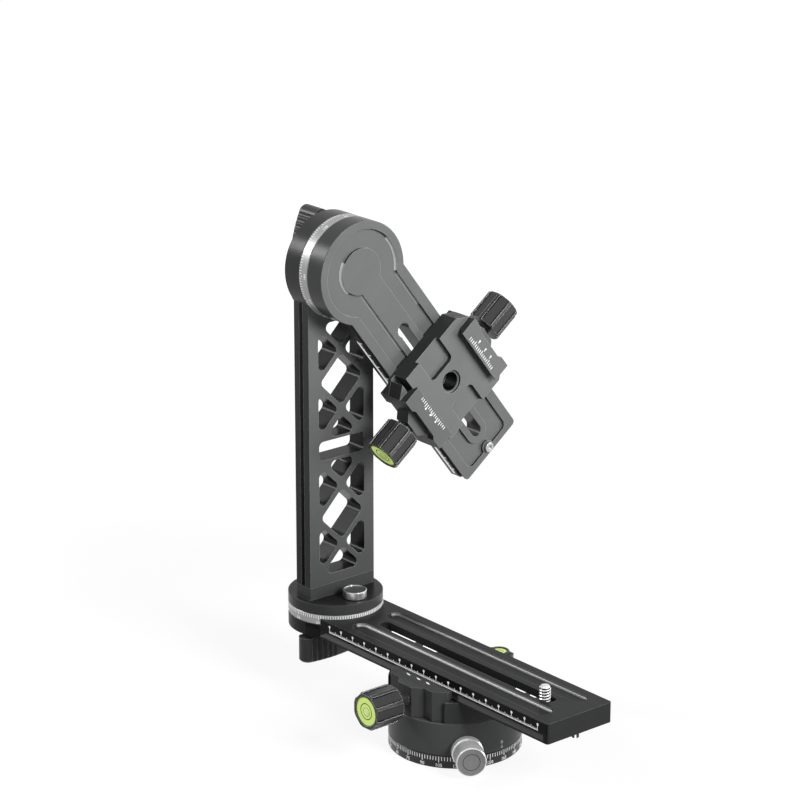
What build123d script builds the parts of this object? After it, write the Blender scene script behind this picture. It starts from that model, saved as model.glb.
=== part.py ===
from build123d import *
import os
from math import cos, radians, sin, sqrt

# Gimbal tripod head: an indexed rotator, a sliding lower rail, an upright arm on a turntable,
# and a swing arm with a sliding clamp for the camera.
# Millimetres, +Z up. The origin lies on the pan axis, in the face that rests on the tripod.
# +X runs along the lower rail to its free end, and the upright arm stands at the -X end.

os.makedirs("parts", exist_ok=True)

# ---------------------------------------------------------------- fits and gaps
turn_gap = 0.1             # between flat faces that turn past each other
slide_gap = 0.1            # under a rail or jaw that slides on a flat floor
loose_gap = 0.3            # round a part that is free to move
running_clearance = 0.06   # radial, a shaft that turns or slides in its bore
seat_clearance = 0.03      # radial, a piece that is fixed in its bore
edge_break = 0.3           # chamfer on turned rims
same_radius = 0.001        # how far an edge's radius may be from the one that is named

# ---------------------------------------------------------------- rotator
rotator_radius = 36.3
base_ring_height = 7.1
rotor_height = 18.6
spindle_radius = 9.0
spindle_flange_radius = 13.0
spindle_flange_height = 2.0
tripod_thread_radius = 4.7625    # 3/8"-16 major radius
tripod_thread_depth = 12.0
tripod_bush_radius = 7.0
retainer_radius = 14.0
retainer_height = 2.6
retainer_ledge = 6.0             # from the rotor's top down to the ledge under the retainer
rotor_bush_radius = 11.0
rotor_bush_height = 5.2
thrust_inner_radius = 20.0
thrust_outer_radius = 30.0
thrust_height = 1.0
thrust_proud = 0.05

# ---------------------------------------------------------------- rotator lock
lock_azimuth = -31.5
lock_height = 3.6                # axis above the rotor's bottom face
lock_stem_radius = 1.75
lock_spigot_radius = 2.8
lock_spigot_length = 12.0
lock_collar_radius = 8.6
lock_collar_length = 4.4
lock_cap_radius = 8.2
lock_cap_length = 10.4
lock_cap_neck = 0.6
lock_face_radius = 7.7
lock_ring_radius = 4.6
brake_pad_length = 5.0

# ---------------------------------------------------------------- dovetail rails
rail_half_width = 22.7
neck_half_width = 19.6
flange_edge = 0.9                # upright edge of the clamped flange
neck_height = 1.2
rail_thickness = 11.3
swing_thickness = 12.0
neck_clearance = 0.4             # between a clamp's lip and the rail's neck
flange_clearance = 0.3           # between a clamp's undercut and the rail's slant

# ---------------------------------------------------------------- lower clamp
clamp_body_height = 12.3
lower_lip_half_length = 23.0
lower_lip_face = 31.3            # outer face, from the rail's centre line
lower_lip_shoulder = 25.3        # where the lip's corners are cut
lower_lip_corner = 17.0
lower_boss_root = 10.0
lower_boss_half_width = 5.5
lower_boss_reach = 35.9
rear_boss_reach = 37.2
jaw_wall = 0.8                   # between the dovetail's foot and a jaw's inner face
lower_axis_drop = 3.2            # knob axis below the rail's bottom face
lower_hub_length = 8.3
lower_screw_tip = 10.0           # from the rail's centre line
lower_pin_half_spacing = 15.0
lower_pin_drop = 6.2
lower_pin_tip = 17.5
mount_circle_radius = 19.0
mount_screw_count = 4
mount_screw_sink = 0.3
mount_screw_grip = 9.0           # length held in the rotor
level_at = 31.5                  # from the rail's centre line
level_radius = 5.7
level_body_radius = 5.0
level_wall = 0.6
level_height = 1.4
level_depth = 3.0
level_vial_radius = 4.3

# ---------------------------------------------------------------- clamp knobs and screws
knob_radius = 10.5
knob_length = 18.7
knob_flats = 8
knob_flat_width = 6.2
knob_flat_depth = 1.1
knob_edge = 0.8
knob_hub_radius = 4.2
knob_recess_depth = 4.0
cap_inset = 0.5                  # of the arm knob's cap, from the knob's face
vial_radius = 8.1
vial_height = 3.5
clamp_screw_radius = 2.5
clamp_screw_grip = 12.0          # length held in the knob
screw_clip_radius = 3.6
screw_clip_height = 1.0
jaw_pin_radius = 1.5
jaw_pin_seat = 5.0               # length held in a jaw

# ---------------------------------------------------------------- lower rail
rail_free_end = 97.8
rail_end_block = 3.6
turntable_x = -102.5
turntable_radius = 26.6
rail_end_height = 7.6
slot_width = 7.1
slot_start = -62.5
slot_end = 77.9
slot_step_width = 12.6
slot_step_depth = 4.6
channel_inner = 7.25             # top channels, from the centre line
channel_outer = 17.4
channel_start = -69.5
channel_end = 88.0
channel_depth = 1.7
channel_corner = 4.5
stop_screw_x = 94.5
stop_screw_radius = 2.0
stop_screw_drop = 3.2
stop_screw_depth = 7.0
stop_slot_width = 1.1             # driver slot in the stop screw's end
stop_slot_depth = 2.2
stop_slot_azimuth = -40.0
stud_x = 71.0
stud_radius = 3.175              # 1/4"-20 major radius
stud_neck_width = 6.0            # square neck that slides in the slot and keeps the stud from turning
stud_neck_length = 5.0
stud_proud = 7.0
stud_head_height = 3.6
stud_slot_width = 1.2
stud_slot_depth = 1.0
rail_corner = 1.5

# ---------------------------------------------------------------- turntable
scale_ring_height = 5.7
turntable_ring_wall = 4.6
boss_clearance = 0.4             # radial, between a scale ring's bore and the boss in it
turntable_height = 6.05
foot_height = 7.05
pivot_radius = 4.0
pivot_grip = 9.0                 # length of a pivot held in its disc, above the boss face
pivot_end_wall = 2.5             # solid left over a pivot's end in its knob
slip_inner_radius = 7.0
slip_outer_radius = 12.0
slip_height = 1.0
slip_proud = 0.05
button_offset = 17.0
button_radius = 6.75
button_height = 4.45
button_gap = 0.2
button_dish_radius = 5.9
button_dish_depth = 0.5
button_pin_radius = 2.0
button_collar_radius = 3.5
button_collar_height = 1.0
button_track_depth = 1.6
button_track_width = 5.0
button_pin_reach = 1.0           # below the rail end's top face
button_roof = 2.0                # over the spring's pocket
spring_wire = 0.35
spring_radius = 2.9
spring_turns = 4
spring_pitch = 0.95

# ---------------------------------------------------------------- wing knobs
wing_half_length = 27.5
wing_half_width = 8.5
wing_tip_radius = 5.0
wing_height = 14.5
wing_hub_radius = 8.0
wing_hub_height = 1.5
wing_angle = 7.0
wing_edge = 1.0
flute_radius = 1.6
flute_offset = 0.6
flute_start = 9.0
flute_pitch = 3.4
flute_count = 5
washer_radius = 8.4
washer_height = 1.0
nut_flats = 13.0
nut_height = 7.0

# ---------------------------------------------------------------- upright arm
arm_thickness = 12.4
arm_length = 182.0               # from the foot's top to the swing axis
arm_disc_radius = 28.8
arm_front_lip = 5.0
arm_groove = 3.0
arm_groove_depth = 3.1
lattice_height = 78.7            # centre of the lattice above the foot's top
lattice_slot_length = 31.6
lattice_slot_height = 10.9
lattice_web = 1.45               # between the slot and the triangles beside it
lattice_cross = 39.2             # from the lattice's centre to a diamond's centre
lattice_diamond = 14.95          # half of a diamond's diagonal
strut_half = 2.1                 # half of a strut, along the arm
lattice_side = 16.0              # side wall of the openings, from the centre line
lattice_inner_half = 11.7        # half of the triangle beside the slot
lattice_outer_half = 14.6        # half of the triangle at each end
lattice_corner = 3.0
arm_screw_offset = 16.9
cap_shank_radius = 2.0
arm_screw_grip = 11.0            # length held in the upright arm
cap_head_radius = 3.4
cap_head_height = 3.0
cap_socket_radius = 1.4
cap_socket_depth = 1.6

# ---------------------------------------------------------------- swing arm
tilt_angle = 37.4                # of the swing arm, from straight down toward +Y
tilt_ring_width = 6.9
tilt_ring_wall = 6.8
tilt_hub_height = 6.2            # stand-off of the wing knob behind the arm
swing_length = 153.75
swing_corner = 2.5
recess_depth = 1.7
recess_inner_radius = 13.1
recess_inner_rise = 1.2          # centre of the round platform above the swing axis, along the arm
recess_rim = 4.5                 # between the round recess and the disc's edge
recess_inner = 7.4
recess_outer = 16.9
recess_foot = 3.75               # from the arm's end to the recess
recess_corner = 4.0
platform_foot = 18.75            # from the arm's end to the centre of the platform's round end
swing_slot_width = 7.0
swing_slot_head = 8.1
swing_slot_start = 43.1
swing_slot_foot = 15.25          # from the arm's end to the slot
arm_stop_foot = 4.25             # from the arm's end to the stop screw
arm_stop_radius = 2.9
arm_stop_proud = 2.0
arm_stop_shank = 1.5
arm_stop_pad = 3.9

# ---------------------------------------------------------------- camera clamp
camera_clamp_at = 87.25          # centre, from the swing axis along the arm
camera_clamp_thickness = 12.0    # from the arm's face to the clamp's floor
camera_half_length = 26.45
camera_shoulder = 24.0           # where the body's corners are cut
camera_corner = 20.5
camera_face = 31.2
camera_boss_root = 10.0
camera_boss_half_width = 5.5
camera_boss_reach = 35.4
camera_lip_half_length = 20.15
waist_depth = 1.6
waist_root = 12.8
waist_half_length = 10.2
shelf_height = 2.2
fixed_core = 21.0                # core's side beside the closing jaw
camera_hub_length = 2.8
camera_knob_height = 6.4         # axis over the arm's face
arm_knob_height = 3.4
camera_screw_tip = 10.0
camera_bore_end = 6.8
arm_screw_tip = 7.5
camera_pin_half_spacing = 13.0
camera_pin_tip = 12.0
camera_pin_bore_end = 8.5
pocket_width = 18.3
pocket_depth = 3.2
upper_pocket_length = 16.3
lower_pocket_length = 15.4
pocket_corner = 3.0
bush_radius = 6.0
bush_sink = 1.5
bush_face_radius = 6.6
bush_height = 9.0

# ---------------------------------------------------------------- levels and axes
rotor_bottom = base_ring_height + turn_gap
rotor_top = rotor_bottom + rotor_height
ledge = rotor_top - retainer_ledge
shoulder = ledge + turn_gap
lock_z = rotor_bottom + lock_height
clamp_floor = rotor_top + clamp_body_height
rail_bottom = clamp_floor + slide_gap
rail_end_top = rail_bottom + rail_end_height
scale_ring_top = rail_end_top + scale_ring_height
turntable_bottom = scale_ring_top + turn_gap
boss_bottom = rail_end_top + turn_gap
turntable_top = turntable_bottom + turntable_height
foot_top = turntable_top + foot_height
joint_height = foot_top + arm_length
arm_front = turntable_x + arm_thickness / 2
arm_back = turntable_x - arm_thickness / 2
tilt_ring_front = arm_front + tilt_ring_width
swing_back = tilt_ring_front + turn_gap
swing_front = swing_back + swing_thickness
turntable_ring_bore = turntable_radius - turntable_ring_wall
tilt_ring_bore = arm_disc_radius - tilt_ring_wall
turntable_boss_radius = turntable_ring_bore - boss_clearance
tilt_boss_radius = tilt_ring_bore - boss_clearance
recess_outer_radius = arm_disc_radius - recess_rim
recess_end = swing_length - recess_foot
platform_end = swing_length - platform_foot
swing_slot_end = swing_length - swing_slot_foot
arm_stop_at = swing_length - arm_stop_foot
flange_height = flange_edge + rail_half_width - neck_half_width
neck_top = flange_height + neck_height
lip_inner = neck_half_width + neck_clearance
lip_height = neck_top - loose_gap
channel_foot = rail_half_width + flange_edge + flange_clearance
jaw_inner = channel_foot + jaw_wall
jaw_pocket = jaw_inner - loose_gap
jaw_pin_end = jaw_inner + jaw_pin_seat
wing_hub_at = washer_height + 2 * turn_gap
wing_end = wing_hub_at + wing_hub_height + wing_height
pivot_tip = wing_end - pivot_end_wall
tilt_pivot_tip = pivot_tip - wing_hub_height + tilt_hub_height
wing_tip_centre = wing_half_length - wing_tip_radius
wing_rise = wing_half_width - wing_tip_radius
wing_side_radius = (wing_rise ** 2 + wing_tip_centre ** 2) / (2 * wing_rise) + wing_tip_radius


# ---------------------------------------------------------------- shapes used more than once
def disc(plane, radius, height, bore=0, mode=Mode.ADD):
    """A disc, or a ring when a bore is given, raised from the plane along its normal."""
    with BuildSketch(plane) as profile:
        Circle(radius)
        if bore:
            Circle(bore, mode=Mode.SUBTRACT)
    extrude(profile.sketch, amount=height, mode=mode)


def block(plane, width, depth, height, mode=Mode.ADD):
    """A rectangular block centred on the plane and raised along its normal."""
    with BuildSketch(plane) as profile:
        Rectangle(width, depth)
    extrude(profile.sketch, amount=height, mode=mode)


def prism(plane, points, height, mode=Mode.ADD):
    """A straight-sided outline raised from the plane along its normal."""
    with BuildSketch(plane) as profile:
        with BuildLine():
            Polyline(*points, close=True)
        make_face()
    extrude(profile.sketch, amount=height, mode=mode)


def break_rims(radius, size=edge_break):
    """Chamfers the circular edges of one radius on the piece being made."""
    rims = edges().filter_by(GeomType.CIRCLE).filter_by(lambda edge: abs(edge.radius - radius) < same_radius)
    chamfer(rims, size)


def both_sides(points):
    """Closes a half outline, given as (across, up), with its mirror image."""
    return points + [(-across, up) for across, up in reversed(points)]


def both_ends(points):
    """Closes a half outline, given as (outward, along), with its mirror image."""
    return points + [(outward, -along) for outward, along in reversed(points)]


def clamp_channel(above):
    """Space between a clamp's lips, open to a height above the lips."""
    return both_sides([
        (channel_foot, -slide_gap),
        (channel_foot, 0),
        (lip_inner, channel_foot - lip_inner),
        (lip_inner, lip_height + above),
    ])


def jaw_plan(inner, half_length, shoulder_at, corner, face, root, boss_half_width, boss_reach):
    """Jaw seen along the rail's normal, as (outward, along) points, with its boss for the knob."""
    return both_ends([
        (inner, half_length),
        (shoulder_at, half_length),
        (face, corner),
        (face, root),
        (boss_reach, boss_half_width),
    ])


def body_plan(inner, half_length, shoulder_at, corner, face):
    """The same outline without a boss."""
    return both_ends([(inner, half_length), (shoulder_at, half_length), (face, corner)])


def lip_plan(inner):
    """Lip of the camera clamp, with a shallow waist in its outer face."""
    return both_ends([
        (inner, camera_lip_half_length),
        (camera_face, camera_lip_half_length),
        (camera_face, waist_root),
        (camera_face - waist_depth, waist_half_length),
    ])


def knob_grip(seat, hub_length):
    """Fluted round knob on a hub. The seat lies on the clamp's boss and faces outward."""
    grip = seat.offset(hub_length)
    face = seat.offset(hub_length + knob_length)
    disc(grip, knob_radius, knob_length)
    break_rims(knob_radius, knob_edge)
    with BuildSketch(grip) as flats:
        with PolarLocations(knob_radius, knob_flats):
            Rectangle(2 * knob_flat_depth, knob_flat_width)
    extrude(flats.sketch, amount=knob_length, mode=Mode.SUBTRACT)
    disc(seat.offset(turn_gap), knob_hub_radius, hub_length - turn_gap)
    disc(face, vial_radius + seat_clearance, -knob_recess_depth, mode=Mode.SUBTRACT)
    bore_depth = hub_length + clamp_screw_grip + seat_clearance
    disc(seat, clamp_screw_radius + seat_clearance, bore_depth, mode=Mode.SUBTRACT)


def vial_seat(seat, hub_length):
    """Plane in the bottom of the recess in a knob's outer face."""
    return seat.offset(hub_length + knob_length - knob_recess_depth)


def clamp_screw(seat, hub_length, inner_length):
    """Screw held in a knob, that runs through the jaw into the clamp's body."""
    disc(seat.offset(-inner_length), clamp_screw_radius, inner_length + hub_length + clamp_screw_grip)
    break_rims(clamp_screw_radius, 2 * edge_break)


def wing_side(along):
    """Half-width of a wing knob at a distance from its centre."""
    return wing_half_width - wing_side_radius + sqrt(wing_side_radius ** 2 - along ** 2)


def wing_knob(seat, hub_height, tip):
    """Wing knob with a nut pocket in its hub. The seat is the face that it tightens against,
    facing outward, with its x direction along the wings, and the pivot ends at the tip."""
    reach = wing_side_radius / (wing_side_radius - wing_tip_radius)
    join = wing_tip_centre * reach
    join_side = (wing_side_radius - wing_half_width) * (reach - 1)
    base = seat.offset(wing_hub_at + hub_height)
    with BuildSketch(base) as outline:
        with BuildLine():
            ThreePointArc((-join, join_side), (0, wing_half_width), (join, join_side))
            ThreePointArc((join, join_side), (wing_half_length, 0), (join, -join_side))
            ThreePointArc((join, -join_side), (0, -wing_half_width), (-join, -join_side))
            ThreePointArc((-join, -join_side), (-wing_half_length, 0), (-join, join_side))
        make_face()
    extrude(outline.sketch, amount=wing_height)
    chamfer(faces().sort_by(Axis(base.origin, base.z_dir))[-1].edges(), wing_edge)
    with BuildSketch(base) as flutes:
        for step in range(flute_count):
            along = flute_start + step * flute_pitch
            across = wing_side(along) + flute_offset
            with Locations((along, across), (along, -across), (-along, across), (-along, -across)):
                Circle(flute_radius)
    extrude(flutes.sketch, amount=wing_height, mode=Mode.SUBTRACT)
    disc(seat.offset(wing_hub_at), wing_hub_radius, hub_height)
    wing_nut(seat, seat_clearance, mode=Mode.SUBTRACT)
    disc(seat, pivot_radius + loose_gap, tip + loose_gap, mode=Mode.SUBTRACT)


def wing_nut(seat, clearance=0, mode=Mode.ADD):
    """Hexagon nut flush with a wing knob's hub, or its pocket."""
    with BuildSketch(seat.offset(wing_hub_at)) as hexagon:
        RegularPolygon(nut_flats / 2 + clearance, 6, major_radius=False)
    extrude(hexagon.sketch, amount=nut_height + clearance, mode=mode)


def pin_pair(plane, half_spacing, length, clearance=0, mode=Mode.ADD):
    """Two guide pins side by side, or their holes, raised from the plane."""
    with BuildSketch(plane) as ends:
        with Locations((-half_spacing, 0), (half_spacing, 0)):
            Circle(jaw_pin_radius + clearance)
    extrude(ends.sketch, amount=length, mode=mode)


def screw_circle(height, radius, length, mode=Mode.ADD):
    """Discs on the clamp's screw circle, raised from a height by a length."""
    with BuildSketch(Plane.XY.offset(height)) as places:
        with PolarLocations(mount_circle_radius, mount_screw_count, start_angle=180 / mount_screw_count):
            Circle(radius)
    extrude(places.sketch, amount=length, mode=mode)


def rail_notches(end_view, length):
    """Cuts both side grooves of a dovetail rail, from its end view along the normal."""
    notch = [
        (rail_half_width, flange_edge),
        (neck_half_width, flange_height),
        (neck_half_width, neck_top),
        (rail_half_width + loose_gap, neck_top),
        (rail_half_width + loose_gap, flange_edge),
    ]
    prism(end_view, notch, length, mode=Mode.SUBTRACT)
    prism(end_view, [(-across, up) for across, up in notch], length, mode=Mode.SUBTRACT)


# ---------------------------------------------------------------- rotator
lock_x = (cos(radians(lock_azimuth)), sin(radians(lock_azimuth)), 0)
lock_y = (-sin(radians(lock_azimuth)), cos(radians(lock_azimuth)), 0)
lock_axis = Plane(origin=(0, 0, lock_z), x_dir=lock_y, z_dir=lock_x)
lock_collar_at = rotator_radius + loose_gap
lock_cap_at = lock_collar_at + lock_collar_length + lock_cap_neck
spigot_inner = lock_collar_at - lock_spigot_length
brake_pad_at = spindle_radius + turn_gap

with BuildPart() as base_ring:
    disc(Plane.XY, rotator_radius, base_ring_height, bore=spindle_radius + seat_clearance)
    break_rims(rotator_radius)
    disc(Plane.XY, spindle_flange_radius + seat_clearance, spindle_flange_height, mode=Mode.SUBTRACT)
    thrust_seat = Plane.XY.offset(base_ring_height + thrust_proud - thrust_height)
    disc(thrust_seat, thrust_outer_radius + seat_clearance, thrust_height,
         bore=thrust_inner_radius - seat_clearance, mode=Mode.SUBTRACT)
base_ring.part.label = "base_ring"
export_step(base_ring.part, "parts/base_ring.step")

with BuildPart() as thrust_washer:
    disc(thrust_seat, thrust_outer_radius, thrust_height, bore=thrust_inner_radius)
thrust_washer.part.label = "thrust_washer"
export_step(thrust_washer.part, "parts/thrust_washer.step")

with BuildPart() as pan_spindle:
    disc(Plane.XY, spindle_flange_radius, spindle_flange_height)
    disc(Plane.XY, spindle_radius, shoulder)
    disc(Plane.XY.offset(shoulder), tripod_bush_radius, retainer_height)
    disc(Plane.XY, tripod_bush_radius + seat_clearance, tripod_thread_depth, mode=Mode.SUBTRACT)
pan_spindle.part.label = "pan_spindle"
export_step(pan_spindle.part, "parts/pan_spindle.step")

with BuildPart() as tripod_bush:
    disc(Plane.XY, tripod_bush_radius, tripod_thread_depth, bore=tripod_thread_radius)
tripod_bush.part.label = "tripod_bush"
export_step(tripod_bush.part, "parts/tripod_bush.step")

with BuildPart() as pan_retainer:
    disc(Plane.XY.offset(shoulder), retainer_radius, retainer_height,
         bore=tripod_bush_radius + seat_clearance)
    retainer_top = Plane.XY.offset(shoulder + retainer_height)
    with BuildSketch(retainer_top) as key_holes:
        with PolarLocations((retainer_radius + tripod_bush_radius) / 2, 2):
            Circle(jaw_pin_radius)
    extrude(amount=-retainer_height, mode=Mode.SUBTRACT)
pan_retainer.part.label = "pan_retainer"
export_step(pan_retainer.part, "parts/pan_retainer.step")

with BuildPart() as rotor_body:
    disc(Plane.XY.offset(rotor_bottom), rotator_radius, rotor_height, bore=spindle_radius + loose_gap)
    break_rims(rotator_radius)
    disc(Plane.XY.offset(ledge), retainer_radius + loose_gap, retainer_ledge, mode=Mode.SUBTRACT)
    disc(Plane.XY.offset(ledge), rotor_bush_radius + seat_clearance, -rotor_bush_height, mode=Mode.SUBTRACT)
    disc(lock_axis, lock_spigot_radius + seat_clearance, rotator_radius, mode=Mode.SUBTRACT)
    screw_circle(rotor_top, cap_shank_radius + seat_clearance, -mount_screw_grip - loose_gap,
                 mode=Mode.SUBTRACT)
rotor_body.part.label = "rotor_body"
export_step(rotor_body.part, "parts/rotor_body.step")

with BuildPart() as rotor_bush:
    disc(Plane.XY.offset(ledge), rotor_bush_radius, -rotor_bush_height,
         bore=spindle_radius + running_clearance)
rotor_bush.part.label = "rotor_bush"
export_step(rotor_bush.part, "parts/rotor_bush.step")

with BuildPart() as lock_collar:
    disc(lock_axis.offset(lock_collar_at), lock_collar_radius, lock_collar_length)
    break_rims(lock_collar_radius, 2 * edge_break)
    disc(lock_axis.offset(spigot_inner), lock_spigot_radius, lock_spigot_length)
    disc(lock_axis.offset(spigot_inner), lock_stem_radius + running_clearance,
         lock_spigot_length + lock_collar_length, mode=Mode.SUBTRACT)
lock_collar.part.label = "lock_collar"
export_step(lock_collar.part, "parts/lock_collar.step")

with BuildPart() as brake_pad:
    disc(lock_axis.offset(brake_pad_at), lock_spigot_radius, brake_pad_length)
brake_pad.part.label = "brake_pad"
export_step(brake_pad.part, "parts/brake_pad.step")

with BuildPart() as lock_knob:
    disc(lock_axis.offset(lock_cap_at), lock_cap_radius, lock_cap_length)
    break_rims(lock_cap_radius, lock_cap_radius - lock_face_radius)
    lock_face = lock_axis.offset(lock_cap_at + lock_cap_length)
    disc(lock_face, lock_ring_radius, -edge_break, bore=lock_ring_radius - edge_break, mode=Mode.SUBTRACT)
    neck_length = lock_cap_neck - turn_gap
    disc(lock_axis.offset(lock_cap_at - neck_length), lock_ring_radius, neck_length)
    stem_inner = brake_pad_at + brake_pad_length + turn_gap
    disc(lock_axis.offset(stem_inner), lock_stem_radius, lock_cap_at - stem_inner)
lock_knob.part.label = "lock_knob"
export_step(lock_knob.part, "parts/lock_knob.step")

# ---------------------------------------------------------------- lower clamp
front_side = Plane(origin=(0, 0, rail_bottom), x_dir=(0, -1, 0), z_dir=(0, 0, 1))
rear_side = Plane(origin=(0, 0, rail_bottom), x_dir=(0, 1, 0), z_dir=(0, 0, 1))
rail_view = Plane(origin=(0, 0, rail_bottom), x_dir=(0, 1, 0), z_dir=(1, 0, 0))
lower_axis = Plane(origin=(0, 0, rail_bottom - lower_axis_drop), x_dir=(1, 0, 0), z_dir=(0, -1, 0))
lower_pins_axis = Plane(origin=(0, 0, rail_bottom - lower_pin_drop), x_dir=(1, 0, 0), z_dir=(0, -1, 0))
lower_seat = lower_axis.offset(lower_boss_reach)
level_seat = Plane(origin=(0, level_at, rail_bottom + lip_height))
lower_jaw_bottom = rotor_top + loose_gap
mount_head_top = clamp_floor - mount_screw_sink

with BuildPart() as lower_clamp_body:
    disc(Plane.XY.offset(rotor_top), rotator_radius, clamp_body_height)
    break_rims(rotator_radius)
    rear_plan = jaw_plan(lip_inner, lower_lip_half_length, lower_lip_shoulder, lower_lip_corner,
                         lower_lip_face, lower_boss_root, lower_boss_half_width, rear_boss_reach)
    prism(rear_side.offset(-slide_gap), rear_plan, lip_height + slide_gap)
    prism(rail_view.offset(-rotator_radius), clamp_channel(loose_gap), 2 * rotator_radius,
          mode=Mode.SUBTRACT)
    pocket_depth_y = rotator_radius - jaw_pocket
    pocket_place = Plane(origin=(0, -jaw_pocket - pocket_depth_y / 2, rotor_top))
    block(pocket_place, 2 * (lower_lip_half_length + loose_gap), pocket_depth_y, clamp_body_height,
          mode=Mode.SUBTRACT)
    disc(lower_axis.offset(lower_screw_tip - loose_gap), clamp_screw_radius + running_clearance,
         rotator_radius, mode=Mode.SUBTRACT)
    pin_pair(lower_pins_axis.offset(lower_pin_tip - loose_gap), lower_pin_half_spacing, rotator_radius,
             running_clearance, mode=Mode.SUBTRACT)
    screw_circle(clamp_floor, cap_shank_radius + seat_clearance, -clamp_body_height, mode=Mode.SUBTRACT)
    screw_circle(clamp_floor, cap_head_radius + seat_clearance, -mount_screw_sink - cap_head_height,
                 mode=Mode.SUBTRACT)
    disc(level_seat, level_body_radius + seat_clearance, -level_depth, mode=Mode.SUBTRACT)
lower_clamp_body.part.label = "lower_clamp_body"
export_step(lower_clamp_body.part, "parts/lower_clamp_body.step")

with BuildPart() as clamp_mount_screws:
    screw_circle(mount_head_top, cap_head_radius, -cap_head_height)
    screw_circle(rotor_top - mount_screw_grip, cap_shank_radius,
                 mount_head_top - cap_head_height - rotor_top + mount_screw_grip)
    screw_circle(mount_head_top, cap_socket_radius, -cap_socket_depth, mode=Mode.SUBTRACT)
clamp_mount_screws.part.label = "clamp_mount_screws"
export_step(clamp_mount_screws.part, "parts/clamp_mount_screws.step")

with BuildPart() as rear_level_cup:
    disc(level_seat, level_radius, level_height)
    break_rims(level_radius)
    disc(level_seat, level_body_radius, -level_depth)
    disc(level_seat.offset(level_wall - level_depth), level_vial_radius + seat_clearance,
         level_depth + level_height, mode=Mode.SUBTRACT)
rear_level_cup.part.label = "rear_level_cup"
export_step(rear_level_cup.part, "parts/rear_level_cup.step")

with BuildPart() as rear_level_vial:
    disc(level_seat.offset(level_wall - level_depth), level_vial_radius,
         level_depth + level_height - 2 * level_wall)
rear_level_vial.part.label = "rear_level_vial"
export_step(rear_level_vial.part, "parts/rear_level_vial.step")

with BuildPart() as lower_jaw:
    front_plan = jaw_plan(jaw_inner, lower_lip_half_length, lower_lip_shoulder, lower_lip_corner,
                          lower_lip_face, lower_boss_root, lower_boss_half_width, lower_boss_reach)
    jaw_drop = rail_bottom - lower_jaw_bottom
    prism(front_side.offset(-jaw_drop), front_plan, jaw_drop + lip_height)
    lip_bottom = 2 * slide_gap
    front_lip = both_ends([(lip_inner, lower_lip_half_length), (lower_lip_shoulder, lower_lip_half_length)])
    prism(front_side.offset(lip_bottom), front_lip, lip_height - lip_bottom)
    prism(rail_view.offset(-rotator_radius), clamp_channel(loose_gap), 2 * rotator_radius,
          mode=Mode.SUBTRACT)
    disc(lower_axis, clamp_screw_radius + running_clearance, lower_boss_reach, mode=Mode.SUBTRACT)
    disc(lower_axis, screw_clip_radius + loose_gap, jaw_inner + screw_clip_height + 2 * turn_gap,
         mode=Mode.SUBTRACT)
    pin_pair(lower_pins_axis, lower_pin_half_spacing, jaw_pin_end, seat_clearance, mode=Mode.SUBTRACT)
lower_jaw.part.label = "lower_jaw"
export_step(lower_jaw.part, "parts/lower_jaw.step")

with BuildPart() as lower_guide_pins:
    pin_pair(lower_pins_axis.offset(lower_pin_tip), lower_pin_half_spacing, jaw_pin_end - lower_pin_tip)
lower_guide_pins.part.label = "lower_guide_pins"
export_step(lower_guide_pins.part, "parts/lower_guide_pins.step")

with BuildPart() as lower_clamp_knob:
    knob_grip(lower_seat, lower_hub_length)
lower_clamp_knob.part.label = "lower_clamp_knob"
export_step(lower_clamp_knob.part, "parts/lower_clamp_knob.step")

with BuildPart() as lower_clamp_screw:
    clamp_screw(lower_seat, lower_hub_length, lower_boss_reach - lower_screw_tip)
lower_clamp_screw.part.label = "lower_clamp_screw"
export_step(lower_clamp_screw.part, "parts/lower_clamp_screw.step")

with BuildPart() as lower_screw_clip:
    disc(lower_axis.offset(jaw_inner + turn_gap), screw_clip_radius, screw_clip_height,
         bore=clamp_screw_radius + seat_clearance)
lower_screw_clip.part.label = "lower_screw_clip"
export_step(lower_screw_clip.part, "parts/lower_screw_clip.step")

with BuildPart() as lower_knob_level:
    disc(vial_seat(lower_seat, lower_hub_length), vial_radius, vial_height)
lower_knob_level.part.label = "lower_knob_level"
export_step(lower_knob_level.part, "parts/lower_knob_level.step")

# ---------------------------------------------------------------- lower rail
turntable_axis = Plane(origin=(turntable_x, 0, 0))
rail_end_face = turntable_axis.offset(rail_end_top)
slot_centre = (slot_start + slot_end) / 2
slot_length = slot_end - slot_start
slot_step_length = slot_length + slot_step_width - slot_width
channel_centre = (channel_start + channel_end) / 2
channel_across = (channel_inner + channel_outer) / 2
slip_seat = rail_end_face.offset(slip_proud - slip_height)

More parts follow.
